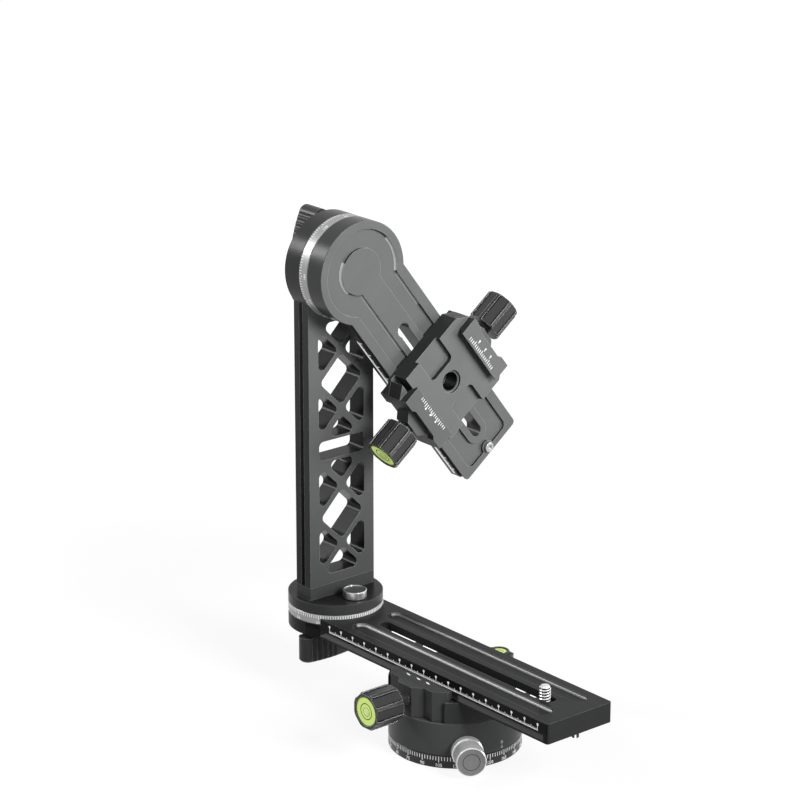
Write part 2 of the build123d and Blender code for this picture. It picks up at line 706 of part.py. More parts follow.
with BuildPart() as rail:
    rail_length = rail_free_end - turntable_x
    block(Plane(origin=(turntable_x + rail_length / 2, 0, rail_bottom)), rail_length, 2 * rail_half_width,
          rail_thickness)
    fillet(edges().filter_by(Axis.Z).group_by(Axis.X)[-1], rail_corner)
    rail_notches(rail_view.offset(turntable_x), rail_length - rail_end_block)
    disc(rail_end_face, turntable_radius + loose_gap, rail_thickness, mode=Mode.SUBTRACT)
    disc(turntable_axis.offset(rail_bottom), turntable_radius, rail_end_height)
    with BuildSketch(Plane.XY.offset(rail_bottom)) as slot:
        with Locations((slot_centre, 0)):
            SlotOverall(slot_length, slot_width)
    extrude(amount=rail_thickness, mode=Mode.SUBTRACT)
    with BuildSketch(Plane.XY.offset(rail_bottom)) as slot_step:
        with Locations((slot_centre, 0)):
            SlotOverall(slot_step_length, slot_step_width)
    extrude(amount=slot_step_depth, mode=Mode.SUBTRACT)
    with BuildSketch(Plane.XY.offset(rail_bottom + rail_thickness)) as channels:
        with Locations((channel_centre, channel_across), (channel_centre, -channel_across)):
            RectangleRounded(channel_end - channel_start, channel_outer - channel_inner, channel_corner)
    extrude(amount=-channel_depth, mode=Mode.SUBTRACT)
    disc(rail_end_face, pivot_radius + running_clearance, -rail_end_height, mode=Mode.SUBTRACT)
    disc(slip_seat, slip_outer_radius + seat_clearance, slip_height, bore=slip_inner_radius - seat_clearance,
         mode=Mode.SUBTRACT)
    disc(rail_end_face, button_offset + button_track_width / 2, -button_track_depth,
         bore=button_offset - button_track_width / 2, mode=Mode.SUBTRACT)
    disc(Plane(origin=(stop_screw_x, 0, rail_bottom)), stop_screw_radius + seat_clearance,
         stop_screw_depth + seat_clearance, mode=Mode.SUBTRACT)
rail.part.label = "rail"
export_step(rail.part, "parts/rail.step")

with BuildPart() as rail_stop_screw:
    disc(Plane(origin=(stop_screw_x, 0, rail_bottom - stop_screw_drop)), stop_screw_radius,
         stop_screw_drop + stop_screw_depth)
    break_rims(stop_screw_radius)
    stop_slot_along = (cos(radians(stop_slot_azimuth)), sin(radians(stop_slot_azimuth)), 0)
    stop_slot_place = Plane(origin=(stop_screw_x, 0, rail_bottom - stop_screw_drop), x_dir=stop_slot_along,
                            z_dir=(0, 0, 1))
    block(stop_slot_place, 4 * stop_screw_radius, stop_slot_width, stop_slot_depth, mode=Mode.SUBTRACT)
rail_stop_screw.part.label = "rail_stop_screw"
export_step(rail_stop_screw.part, "parts/rail_stop_screw.step")

with BuildPart() as slot_stud:
    head_top = rail_bottom + slot_step_depth - 2 * slide_gap
    head_place = Plane(origin=(stud_x, 0, head_top - stud_head_height))
    disc(head_place, slot_step_width / 2 - loose_gap, stud_head_height)
    stud_face = Plane(origin=(stud_x, 0, rail_bottom + rail_thickness))
    block(stud_face, stud_neck_length, stud_neck_width, head_top - rail_bottom - rail_thickness)
    disc(stud_face, stud_radius, stud_proud)
    chamfer(edges().filter_by(GeomType.CIRCLE).sort_by(Axis.Z)[-1], 2 * edge_break)
    block(head_place, slot_step_width, stud_slot_width, stud_slot_depth, mode=Mode.SUBTRACT)
slot_stud.part.label = "slot_stud"
export_step(slot_stud.part, "parts/slot_stud.step")

# ---------------------------------------------------------------- turntable
boss_face = turntable_axis.offset(boss_bottom)
turntable_seat = Plane(origin=(turntable_x, 0, rail_bottom), z_dir=(0, 0, -1),
                       x_dir=(sin(radians(wing_angle)), -cos(radians(wing_angle)), 0))
button_axis = Plane(origin=(turntable_x + button_offset, 0, 0))
collar_bottom = boss_bottom + button_collar_height
collar_top = collar_bottom + button_collar_height
arm_screw_places = ((0, -arm_screw_offset), (0, arm_screw_offset))
arm_screw_top = boss_bottom + cap_head_height + loose_gap

with BuildPart() as turntable_ring:
    disc(rail_end_face, turntable_radius, scale_ring_height, bore=turntable_ring_bore)
    break_rims(turntable_radius)
turntable_ring.part.label = "turntable_ring"
export_step(turntable_ring.part, "parts/turntable_ring.step")

with BuildPart() as turntable_slip_ring:
    disc(slip_seat, slip_outer_radius, slip_height, bore=slip_inner_radius)
turntable_slip_ring.part.label = "turntable_slip_ring"
export_step(turntable_slip_ring.part, "parts/turntable_slip_ring.step")

with BuildPart() as turntable_disc:
    disc(turntable_axis.offset(turntable_bottom), turntable_radius, turntable_height)
    break_rims(turntable_radius)
    disc(boss_face, turntable_boss_radius, turntable_bottom - boss_bottom)
    block(turntable_axis.offset(turntable_top), arm_thickness, 2 * rail_half_width, foot_height)
    disc(boss_face, pivot_radius + seat_clearance, pivot_grip + seat_clearance, mode=Mode.SUBTRACT)
    disc(button_axis.offset(boss_bottom), button_pin_radius + running_clearance, turntable_top - boss_bottom,
         mode=Mode.SUBTRACT)
    disc(button_axis.offset(boss_bottom), button_collar_radius + loose_gap,
         turntable_top - button_roof - boss_bottom, mode=Mode.SUBTRACT)
    with BuildSketch(boss_face) as arm_screw_heads:
        with Locations(*arm_screw_places):
            Circle(cap_head_radius + seat_clearance)
    extrude(amount=arm_screw_top - boss_bottom, mode=Mode.SUBTRACT)
    with BuildSketch(boss_face) as arm_screw_holes:
        with Locations(*arm_screw_places):
            Circle(cap_shank_radius + seat_clearance)
    extrude(amount=foot_top - boss_bottom, mode=Mode.SUBTRACT)
turntable_disc.part.label = "turntable_disc"
export_step(turntable_disc.part, "parts/turntable_disc.step")

with BuildPart() as turntable_spindle:
    disc(turntable_seat.offset(pivot_tip), pivot_radius, rail_bottom - boss_bottom - pivot_tip - pivot_grip)
    break_rims(pivot_radius, 2 * edge_break)
turntable_spindle.part.label = "turntable_spindle"
export_step(turntable_spindle.part, "parts/turntable_spindle.step")

with BuildPart() as turntable_washer:
    disc(turntable_seat.offset(turn_gap), washer_radius, washer_height,
         bore=pivot_radius + running_clearance)
turntable_washer.part.label = "turntable_washer"
export_step(turntable_washer.part, "parts/turntable_washer.step")

with BuildPart() as turntable_knob:
    wing_knob(turntable_seat, wing_hub_height, pivot_tip)
turntable_knob.part.label = "turntable_knob"
export_step(turntable_knob.part, "parts/turntable_knob.step")

with BuildPart() as turntable_nut:
    wing_nut(turntable_seat)
    disc(turntable_seat, pivot_radius + running_clearance, wing_end, mode=Mode.SUBTRACT)
turntable_nut.part.label = "turntable_nut"
export_step(turntable_nut.part, "parts/turntable_nut.step")

with BuildPart() as release_button:
    button_bottom = turntable_top + button_gap
    button_pin_bottom = rail_end_top - button_pin_reach
    disc(button_axis.offset(button_bottom), button_radius, button_height)
    break_rims(button_radius)
    disc(button_axis.offset(button_bottom + button_height), button_dish_radius, -button_dish_depth,
         mode=Mode.SUBTRACT)
    disc(button_axis.offset(button_pin_bottom), button_pin_radius, button_bottom - button_pin_bottom)
    disc(button_axis.offset(collar_bottom), button_collar_radius, button_collar_height)
release_button.part.label = "release_button"
export_step(release_button.part, "parts/release_button.step")

with BuildPart() as button_spring:
    with BuildLine() as coil:
        Helix(spring_pitch, spring_turns * spring_pitch, spring_radius,
              center=(turntable_x + button_offset, 0, collar_top + spring_wire + seat_clearance))
    with BuildSketch(Plane(origin=coil.line @ 0, z_dir=coil.line % 0)):
        Circle(spring_wire)
    sweep()
button_spring.part.label = "button_spring"
export_step(button_spring.part, "parts/button_spring.step")

# ---------------------------------------------------------------- upright arm
arm_side_view = Plane(origin=(arm_back, 0, 0), x_dir=(0, 1, 0), z_dir=(1, 0, 0))
swing_axis = Plane(origin=(0, 0, joint_height), x_dir=(0, 1, 0), z_dir=(1, 0, 0))
arm_middle = (foot_top + joint_height) / 2
lattice_centre = foot_top + lattice_height
inner_cross = lattice_cross - lattice_diamond - strut_half
outer_cross = lattice_cross + lattice_diamond + strut_half
inner_base = lattice_slot_height / 2 + lattice_web
outer_apex = outer_cross + strut_half
outer_base = outer_apex + lattice_outer_half
side_half = lattice_side - strut_half


def lattice_openings():
    """Outlines of the openings beside the slot, as (across, up) from the lattice's centre."""
    outlines = []
    for up in (-1, 1):
        outlines.append([
            (0, up * (lattice_cross - lattice_diamond)),
            (lattice_diamond, up * lattice_cross),
            (0, up * (lattice_cross + lattice_diamond)),
            (-lattice_diamond, up * lattice_cross),
        ])
        outlines.append([
            (-lattice_inner_half, up * inner_base),
            (lattice_inner_half, up * inner_base),
            (0, up * (inner_base + lattice_inner_half)),
        ])
        outlines.append([
            (-lattice_outer_half, up * outer_base),
            (lattice_outer_half, up * outer_base),
            (0, up * outer_apex),
        ])
        for across in (-1, 1):
            for cross in (inner_cross, outer_cross):
                outlines.append([
                    (across * lattice_side, up * cross - side_half),
                    (across * lattice_side, up * cross + side_half),
                    (across * strut_half, up * cross),
                ])
    return outlines


with BuildPart() as vertical_arm:
    with BuildSketch(arm_side_view) as arm_side:
        with Locations((0, arm_middle)):
            Rectangle(2 * rail_half_width, arm_length)
    extrude(amount=arm_thickness)
    groove_back = arm_thickness - arm_front_lip - arm_groove
    with BuildSketch(arm_side_view.offset(groove_back)) as grooves:
        groove_across = rail_half_width - arm_groove_depth / 2
        with Locations((groove_across, arm_middle), (-groove_across, arm_middle)):
            Rectangle(arm_groove_depth, arm_length)
    extrude(amount=arm_groove, mode=Mode.SUBTRACT)
    disc(swing_axis.offset(arm_back), arm_disc_radius, arm_thickness)
    break_rims(arm_disc_radius)
    with BuildSketch(arm_side_view) as lattice:
        for outline in lattice_openings():
            with BuildLine():
                Polyline(*[(across, lattice_centre + up) for across, up in outline], close=True)
            make_face()
        fillet(lattice.vertices(), lattice_corner)
        with Locations((0, lattice_centre)):
            RectangleRounded(lattice_slot_length, lattice_slot_height, lattice_corner)
    extrude(amount=arm_thickness, mode=Mode.SUBTRACT)
    disc(swing_axis.offset(arm_back), pivot_radius + running_clearance, arm_thickness, mode=Mode.SUBTRACT)
    tilt_slip_seat = swing_axis.offset(arm_front + slip_proud - slip_height)
    disc(tilt_slip_seat, slip_outer_radius + seat_clearance, slip_height,
         bore=slip_inner_radius - seat_clearance, mode=Mode.SUBTRACT)
    with BuildSketch(turntable_axis.offset(foot_top)) as arm_threads:
        with Locations(*arm_screw_places):
            Circle(cap_shank_radius + seat_clearance)
    extrude(amount=arm_screw_grip + loose_gap, mode=Mode.SUBTRACT)
vertical_arm.part.label = "vertical_arm"
export_step(vertical_arm.part, "parts/vertical_arm.step")

with BuildPart() as arm_screws:
    with BuildSketch(turntable_axis.offset(arm_screw_top)) as heads:
        with Locations(*arm_screw_places):
            Circle(cap_head_radius)
    extrude(amount=-cap_head_height)
    with BuildSketch(turntable_axis.offset(arm_screw_top)) as shanks:
        with Locations(*arm_screw_places):
            Circle(cap_shank_radius)
    extrude(amount=foot_top + arm_screw_grip - arm_screw_top)
    with BuildSketch(turntable_axis.offset(arm_screw_top - cap_head_height)) as sockets:
        with Locations(*arm_screw_places):
            Circle(cap_socket_radius)
    extrude(amount=cap_socket_depth, mode=Mode.SUBTRACT)
arm_screws.part.label = "arm_screws"
export_step(arm_screws.part, "parts/arm_screws.step")

# ---------------------------------------------------------------- tilt joint
tilt_seat = Plane(origin=(arm_back, 0, joint_height), z_dir=(-1, 0, 0),
                  x_dir=(0, sin(radians(wing_angle)), cos(radians(wing_angle))))

with BuildPart() as tilt_ring:
    disc(swing_axis.offset(arm_front), arm_disc_radius, tilt_ring_width, bore=tilt_ring_bore)
    break_rims(arm_disc_radius)
tilt_ring.part.label = "tilt_ring"
export_step(tilt_ring.part, "parts/tilt_ring.step")

with BuildPart() as tilt_slip_ring:
    disc(tilt_slip_seat, slip_outer_radius, slip_height, bore=slip_inner_radius)
tilt_slip_ring.part.label = "tilt_slip_ring"
export_step(tilt_slip_ring.part, "parts/tilt_slip_ring.step")

with BuildPart() as tilt_spindle:
    disc(tilt_seat.offset(tilt_pivot_tip), pivot_radius,
         -tilt_pivot_tip - arm_thickness - turn_gap - pivot_grip)
    break_rims(pivot_radius, 2 * edge_break)
tilt_spindle.part.label = "tilt_spindle"
export_step(tilt_spindle.part, "parts/tilt_spindle.step")

with BuildPart() as tilt_washer:
    disc(tilt_seat.offset(turn_gap), washer_radius, washer_height, bore=pivot_radius + running_clearance)
tilt_washer.part.label = "tilt_washer"
export_step(tilt_washer.part, "parts/tilt_washer.step")

with BuildPart() as tilt_knob:
    wing_knob(tilt_seat, tilt_hub_height, tilt_pivot_tip)
tilt_knob.part.label = "tilt_knob"
export_step(tilt_knob.part, "parts/tilt_knob.step")

with BuildPart() as tilt_nut:
    wing_nut(tilt_seat)
    disc(tilt_seat, pivot_radius + running_clearance, wing_end, mode=Mode.SUBTRACT)
tilt_nut.part.label = "tilt_nut"
export_step(tilt_nut.part, "parts/tilt_nut.step")

# ---------------------------------------------------------------- swing arm
tilt_sin = sin(radians(tilt_angle))
tilt_cos = cos(radians(tilt_angle))
across_arm = (0, tilt_cos, tilt_sin)
across_arm_back = (0, -tilt_cos, -tilt_sin)
down_arm = (0, tilt_sin, -tilt_cos)
up_arm = (0, -tilt_sin, tilt_cos)


def swing_point(x, along):
    """Point on the swing arm's centre line, at a distance from its axis."""
    return (x, along * tilt_sin, joint_height - along * tilt_cos)


swing_face = Plane(origin=swing_point(swing_front, 0), x_dir=across_arm, z_dir=(1, 0, 0))
swing_end_view = Plane(origin=swing_point(swing_front, swing_length), x_dir=across_arm, z_dir=up_arm)

with BuildPart() as swing_arm:
    with BuildSketch(swing_face) as swing_plan:
        with Locations((0, -swing_length / 2)):
            Rectangle(2 * rail_half_width, swing_length)
        fillet(swing_plan.vertices().group_by(Axis.Y)[0], swing_corner)
    extrude(amount=-swing_thickness)
    rail_notches(swing_end_view, swing_length)
    disc(swing_axis.offset(swing_back), arm_disc_radius, swing_thickness)
    break_rims(arm_disc_radius)
    disc(swing_axis.offset(arm_front + turn_gap), tilt_boss_radius, swing_back - arm_front - turn_gap)
    with BuildSketch(swing_face) as recess:
        Circle(recess_outer_radius)
        with Locations((0, -recess_end / 2)):
            Rectangle(2 * recess_outer, recess_end)
        fillet(recess.vertices().group_by(Axis.Y)[0], recess_corner)
        with Locations((0, recess_inner_rise)):
            Circle(recess_inner_radius, mode=Mode.SUBTRACT)
        with Locations((0, -platform_end / 2)):
            Rectangle(2 * recess_inner, platform_end, mode=Mode.SUBTRACT)
        with Locations((0, -platform_end)):
            Circle(recess_inner, mode=Mode.SUBTRACT)
        with Locations((0, -arm_stop_at)):
            Circle(arm_stop_pad, mode=Mode.SUBTRACT)
    extrude(amount=-recess_depth, mode=Mode.SUBTRACT)
    with BuildSketch(swing_face) as swing_slot:
        with Locations((0, -(swing_slot_start + swing_slot_end) / 2)):
            SlotOverall(swing_slot_end - swing_slot_start, swing_slot_width, rotation=90)
        with Locations((0, -swing_slot_start - swing_slot_head / 2)):
            Circle(swing_slot_head / 2)
    extrude(amount=-swing_thickness, mode=Mode.SUBTRACT)
    disc(swing_axis.offset(arm_front + turn_gap), pivot_radius + seat_clearance, pivot_grip + seat_clearance,
         mode=Mode.SUBTRACT)
    stop_place = Plane(origin=swing_point(swing_front, arm_stop_at), x_dir=across_arm, z_dir=(1, 0, 0))
    disc(stop_place, arm_stop_shank + seat_clearance, -swing_thickness / 2, mode=Mode.SUBTRACT)
swing_arm.part.label = "swing_arm"
export_step(swing_arm.part, "parts/swing_arm.step")

with BuildPart() as arm_stop_screw:
    disc(stop_place, arm_stop_radius, arm_stop_proud)
    break_rims(arm_stop_radius)
    disc(stop_place, arm_stop_shank, seat_clearance - swing_thickness / 2)
    disc(stop_place.offset(arm_stop_proud), cap_socket_radius, -arm_stop_proud / 2, mode=Mode.SUBTRACT)
arm_stop_screw.part.label = "arm_stop_screw"
export_step(arm_stop_screw.part, "parts/arm_stop_screw.step")

# ---------------------------------------------------------------- camera clamp
camera_floor = swing_front + camera_clamp_thickness
clamp_centre = swing_point(swing_front, camera_clamp_at)
closing_side = Plane(origin=clamp_centre, x_dir=across_arm_back, z_dir=(1, 0, 0))
opening_side = Plane(origin=clamp_centre, x_dir=across_arm, z_dir=(1, 0, 0))
arm_channel_view = Plane(origin=swing_point(swing_front, camera_clamp_at + camera_half_length),
                         x_dir=across_arm, z_dir=up_arm)
camera_channel_view = Plane(origin=swing_point(camera_floor, camera_clamp_at - camera_half_length),
                            x_dir=across_arm, z_dir=down_arm)
closing_axis = Plane(origin=swing_point(swing_front + camera_knob_height, camera_clamp_at),
                     x_dir=down_arm, z_dir=across_arm_back)
opening_axis = Plane(origin=swing_point(swing_front + arm_knob_height, camera_clamp_at),
                     x_dir=down_arm, z_dir=across_arm)
closing_seat = closing_axis.offset(camera_boss_reach)
opening_seat = opening_axis.offset(camera_boss_reach)
corner_slope = (camera_half_length - camera_corner) / (camera_face - camera_shoulder)
jaw_half_length = camera_half_length - (jaw_inner - camera_shoulder) * corner_slope
opening_shelf = camera_clamp_thickness - shelf_height - slide_gap
slab_plan = both_ends([
    (jaw_inner, jaw_half_length),
    (camera_face, camera_corner),
    (camera_face, camera_boss_root),
    (camera_boss_reach, camera_boss_half_width),
])
shelf_plan = body_plan(0, camera_half_length, camera_shoulder, camera_corner, camera_face)

with BuildPart() as camera_clamp_body:
    core_plan = both_ends([(-fixed_core, camera_half_length), (jaw_pocket, camera_half_length)])
    prism(opening_side.offset(slide_gap), core_plan, camera_clamp_thickness - slide_gap)
    prism(closing_side.offset(slide_gap), shelf_plan, shelf_height - slide_gap)
    prism(opening_side.offset(opening_shelf), shelf_plan, camera_clamp_thickness - opening_shelf)
    prism(closing_side.offset(shelf_height), lip_plan(lip_inner), -shelf_height - lip_height)
    camera_lip_top = camera_clamp_thickness + lip_height
    prism(opening_side.offset(opening_shelf), lip_plan(lip_inner), camera_lip_top - opening_shelf)
    prism(arm_channel_view, clamp_channel(loose_gap), 2 * camera_half_length, mode=Mode.SUBTRACT)
    prism(camera_channel_view, clamp_channel(loose_gap), 2 * camera_half_length, mode=Mode.SUBTRACT)
    with BuildSketch(opening_side.offset(camera_clamp_thickness)) as pockets:
        with Locations((0, camera_half_length - upper_pocket_length / 2 + pocket_corner)):
            RectangleRounded(pocket_width, upper_pocket_length + 2 * pocket_corner, pocket_corner)
        with Locations((0, lower_pocket_length / 2 - camera_half_length - pocket_corner)):
            RectangleRounded(pocket_width, lower_pocket_length + 2 * pocket_corner, pocket_corner)
    extrude(amount=-pocket_depth, mode=Mode.SUBTRACT)
    camera_face_plane = opening_side.offset(camera_clamp_thickness)
    disc(camera_face_plane, bush_face_radius, -bush_sink, mode=Mode.SUBTRACT)
    disc(camera_face_plane, bush_radius + seat_clearance, -bush_sink - bush_height, mode=Mode.SUBTRACT)
    disc(camera_face_plane, tripod_thread_radius + loose_gap, -camera_clamp_thickness, mode=Mode.SUBTRACT)
    disc(closing_axis.offset(camera_bore_end), clamp_screw_radius + running_clearance, fixed_core,
         mode=Mode.SUBTRACT)
    disc(opening_axis.offset(camera_bore_end), clamp_screw_radius + running_clearance, camera_face,
         mode=Mode.SUBTRACT)
    pin_pair(closing_axis.offset(camera_pin_bore_end), camera_pin_half_spacing, fixed_core,
             running_clearance, mode=Mode.SUBTRACT)
    pin_pair(opening_axis.offset(camera_pin_bore_end), camera_pin_half_spacing, camera_face,
             running_clearance, mode=Mode.SUBTRACT)
camera_clamp_body.part.label = "camera_clamp_body"
export_step(camera_clamp_body.part, "parts/camera_clamp_body.step")

with BuildPart() as camera_thread_bush:
    disc(camera_face_plane.offset(-bush_sink), bush_radius, -bush_height, bore=tripod_thread_radius)
camera_thread_bush.part.label = "camera_thread_bush"
export_step(camera_thread_bush.part, "parts/camera_thread_bush.step")


def jaw_holes(axis):
    """Cuts a camera clamp jaw's holes for its screw, the screw's clip and the guide pins."""
    disc(axis, clamp_screw_radius + running_clearance, camera_boss_reach, mode=Mode.SUBTRACT)
    disc(axis, screw_clip_radius + loose_gap, jaw_inner + screw_clip_height + 2 * turn_gap,
         mode=Mode.SUBTRACT)
    pin_pair(axis, camera_pin_half_spacing, jaw_pin_end, seat_clearance, mode=Mode.SUBTRACT)


with BuildPart() as camera_jaw:
    closing_slab = shelf_height + 2 * slide_gap
    prism(closing_side.offset(closing_slab), slab_plan, camera_clamp_thickness - closing_slab)
    jaw_lip = camera_clamp_thickness + 2 * slide_gap
    prism(closing_side.offset(jaw_lip), lip_plan(lip_inner), lip_height - 2 * slide_gap)
    prism(closing_side.offset(camera_clamp_thickness), lip_plan(jaw_inner), 2 * slide_gap)
    prism(camera_channel_view, clamp_channel(loose_gap), 2 * camera_half_length, mode=Mode.SUBTRACT)
    jaw_holes(closing_axis)
camera_jaw.part.label = "camera_jaw"
export_step(camera_jaw.part, "parts/camera_jaw.step")

with BuildPart() as camera_jaw_pins:
    pin_pair(closing_axis.offset(camera_pin_tip), camera_pin_half_spacing, jaw_pin_end - camera_pin_tip)
camera_jaw_pins.part.label = "camera_jaw_pins"
export_step(camera_jaw_pins.part, "parts/camera_jaw_pins.step")

with BuildPart() as camera_knob:
    knob_grip(closing_seat, camera_hub_length)
camera_knob.part.label = "camera_knob"
export_step(camera_knob.part, "parts/camera_knob.step")

with BuildPart() as camera_clamp_screw:
    clamp_screw(closing_seat, camera_hub_length, camera_boss_reach - camera_screw_tip)
camera_clamp_screw.part.label = "camera_clamp_screw"
export_step(camera_clamp_screw.part, "parts/camera_clamp_screw.step")

with BuildPart() as camera_screw_clip:
    disc(closing_axis.offset(jaw_inner + turn_gap), screw_clip_radius, screw_clip_height,
         bore=clamp_screw_radius + seat_clearance)
camera_screw_clip.part.label = "camera_screw_clip"
export_step(camera_screw_clip.part, "parts/camera_screw_clip.step")

with BuildPart() as camera_knob_level:
    disc(vial_seat(closing_seat, camera_hub_length), vial_radius, vial_height)
camera_knob_level.part.label = "camera_knob_level"
export_step(camera_knob_level.part, "parts/camera_knob_level.step")

with BuildPart() as arm_jaw:
    prism(opening_side, slab_plan, opening_shelf - 2 * slide_gap)
    prism(opening_side.offset(-2 * slide_gap), lip_plan(lip_inner), 2 * slide_gap - lip_height)
    prism(opening_side, lip_plan(jaw_inner), -2 * slide_gap)
    prism(arm_channel_view, clamp_channel(loose_gap), 2 * camera_half_length, mode=Mode.SUBTRACT)
    jaw_holes(opening_axis)
arm_jaw.part.label = "arm_jaw"
export_step(arm_jaw.part, "parts/arm_jaw.step")

with BuildPart() as arm_jaw_pins:
    pin_pair(opening_axis.offset(camera_pin_tip), camera_pin_half_spacing, jaw_pin_end - camera_pin_tip)
arm_jaw_pins.part.label = "arm_jaw_pins"
export_step(arm_jaw_pins.part, "parts/arm_jaw_pins.step")

with BuildPart() as arm_knob:
    knob_grip(opening_seat, camera_hub_length)
arm_knob.part.label = "arm_knob"
export_step(arm_knob.part, "parts/arm_knob.step")

with BuildPart() as arm_clamp_screw:
    clamp_screw(opening_seat, camera_hub_length, camera_boss_reach - arm_screw_tip)
arm_clamp_screw.part.label = "arm_clamp_screw"
export_step(arm_clamp_screw.part, "parts/arm_clamp_screw.step")

with BuildPart() as arm_screw_clip:
    disc(opening_axis.offset(jaw_inner + turn_gap), screw_clip_radius, screw_clip_height,
         bore=clamp_screw_radius + seat_clearance)
arm_screw_clip.part.label = "arm_screw_clip"
export_step(arm_screw_clip.part, "parts/arm_screw_clip.step")

with BuildPart() as arm_knob_cap:
    disc(vial_seat(opening_seat, camera_hub_length), vial_radius, knob_recess_depth - cap_inset)
    break_rims(vial_radius)
arm_knob_cap.part.label = "arm_knob_cap"
export_step(arm_knob_cap.part, "parts/arm_knob_cap.step")
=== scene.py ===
from math import ceil, cos, pi, radians, sin

import bmesh
import bpy
from mathutils import Matrix, Vector


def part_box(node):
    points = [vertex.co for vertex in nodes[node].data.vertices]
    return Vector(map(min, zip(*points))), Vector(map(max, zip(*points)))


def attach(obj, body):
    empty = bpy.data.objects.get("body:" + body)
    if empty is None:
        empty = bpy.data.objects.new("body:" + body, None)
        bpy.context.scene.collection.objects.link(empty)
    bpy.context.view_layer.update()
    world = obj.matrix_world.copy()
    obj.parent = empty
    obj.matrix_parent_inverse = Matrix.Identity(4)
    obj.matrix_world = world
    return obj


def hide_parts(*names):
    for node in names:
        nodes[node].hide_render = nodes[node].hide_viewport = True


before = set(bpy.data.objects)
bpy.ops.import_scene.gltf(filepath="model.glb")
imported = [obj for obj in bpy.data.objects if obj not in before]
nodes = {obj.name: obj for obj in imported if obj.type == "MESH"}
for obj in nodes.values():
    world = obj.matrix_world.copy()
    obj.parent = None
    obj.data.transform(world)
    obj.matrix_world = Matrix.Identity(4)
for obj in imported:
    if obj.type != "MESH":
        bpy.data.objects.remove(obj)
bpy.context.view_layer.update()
MM = 0.001


# ------------------------------------------------------------------ frames on the object
class Place:
    """A point and three directions in millimetres: x and y lie in a face, z points out of it."""

    def __init__(self, origin, x, z):
        self.origin = Vector(origin)
        self.x = Vector(x).normalized()
        self.z = Vector(z).normalized()
        self.y = self.z.cross(self.x)

    def at(self, x, y, z):
        return (self.origin + self.x * x + self.y * y + self.z * z) * MM

    def up(self, height):
        return Place(self.origin + self.z * height, self.x, self.z)


X, Y, Z = 0, 1, 2
LOW, HIGH = 0, 1


def end_of(name, side, axis):
    """Where a node ends along an axis, on its low or its high side, in millimetres."""
    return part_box(name)[side][axis] / MM


def middle(name, axis):
    return (end_of(name, LOW, axis) + end_of(name, HIGH, axis)) / 2


# the swing arm at rest: its lean, the height of its joint, and the directions across it and down it
TILT = radians(37.4)
JOINT = middle("tilt_ring", Z)
ACROSS = (0, cos(TILT), sin(TILT))
AGAINST = (0, -cos(TILT), -sin(TILT))
DOWN = (0, sin(TILT), -cos(TILT))


def on_arm(x, along, across=0.0):
    """A point at some x, some way down the swing arm's centre line and across it."""
    return Vector((x, 0, JOINT)) + Vector(DOWN) * along + Vector(ACROSS) * across


X_WAY = (1, 0, 0)
Y_WAY = (0, 1, 0)
Z_WAY = (0, 0, 1)
MINUS_Y = (0, -1, 0)
RAIL_HALF = 22.7
SWING_HALF = 22.7
RAIL_TOP = end_of("rail", HIGH, Z)
STUD_X = 71.0
CLAMP_ALONG = 87.25
CLAMP_KNOB_REACH = 56.9
LEVEL_INSET = 0.5
DISH_DEPTH = 0.5
LOCK_TURN = radians(-31.5)
LOCK_REACH = 52.0

PAN = Place((0, 0, 0), X_WAY, Z_WAY)
TRIPOD = Place((0, 0, 0), X_WAY, (0, 0, -1))
TURNTABLE = Place((middle("turntable_ring", X), 0, 0), X_WAY, Z_WAY)
SWING = Place((0, 0, JOINT), Y_WAY, X_WAY)
RAIL_SIDE = Place((0, -RAIL_HALF, 0), X_WAY, MINUS_Y)
STUD = Place((STUD_X, 0, RAIL_TOP), X_WAY, Z_WAY)
JAW_TOP = Place((0, 0, end_of("lower_jaw", HIGH, Z)), X_WAY, Z_WAY)
CLAMP_TOP = Place(on_arm(end_of("camera_jaw", HIGH, X), CLAMP_ALONG), ACROSS, X_WAY)
CAMERA_BUSH = Place(on_arm(end_of("camera_thread_bush", HIGH, X), CLAMP_ALONG), ACROSS, X_WAY)
LOWER_KNOB = Place((0, end_of("lower_clamp_knob", LOW, Y), middle("lower_clamp_knob", Z)), X_WAY, MINUS_Y)
CAMERA_KNOB = Place(on_arm(middle("camera_knob", X), CLAMP_ALONG, -CLAMP_KNOB_REACH), DOWN, AGAINST)
ARM_KNOB = Place(on_arm(middle("arm_knob", X), CLAMP_ALONG, CLAMP_KNOB_REACH), DOWN, ACROSS)
LOWER_VIAL = LOWER_KNOB.up(-LEVEL_INSET)
CAMERA_VIAL = CAMERA_KNOB.up(-LEVEL_INSET)
REAR_VIAL = Place((0, middle("rear_level_vial", Y), end_of("rear_level_vial", HIGH, Z)), X_WAY, Z_WAY)
LOCK_OUT = (cos(LOCK_TURN), sin(LOCK_TURN), 0)
LOCK_FACE = Place((LOCK_REACH * LOCK_OUT[X], LOCK_REACH * LOCK_OUT[Y], middle("lock_knob", Z)),
                  (-LOCK_OUT[Y], LOCK_OUT[X], 0), LOCK_OUT)
BUTTON_TOP = Place((middle("release_button", X), 0, end_of("release_button", HIGH, Z)), X_WAY, Z_WAY)
BUTTON_DISH = BUTTON_TOP.up(-DISH_DEPTH)


# ------------------------------------------------------------------ shader nodes
def node(tree, kind, **settings):
    made = tree.nodes.new(kind)
    for key, value in settings.items():
        setattr(made, key, value)
    return made


def feed(tree, value, socket):
    """Give a socket a plain value, or link another node's output to it."""
    if isinstance(value, bpy.types.NodeSocket):
        tree.links.new(value, socket)
    else:
        socket.default_value = value


def number(tree, operation, *values):
    """What a Math node makes of its values."""
    made = node(tree, "ShaderNodeMath", operation=operation)
    for value, socket in zip(values, made.inputs):
        feed(tree, value, socket)
    return made.outputs["Value"]


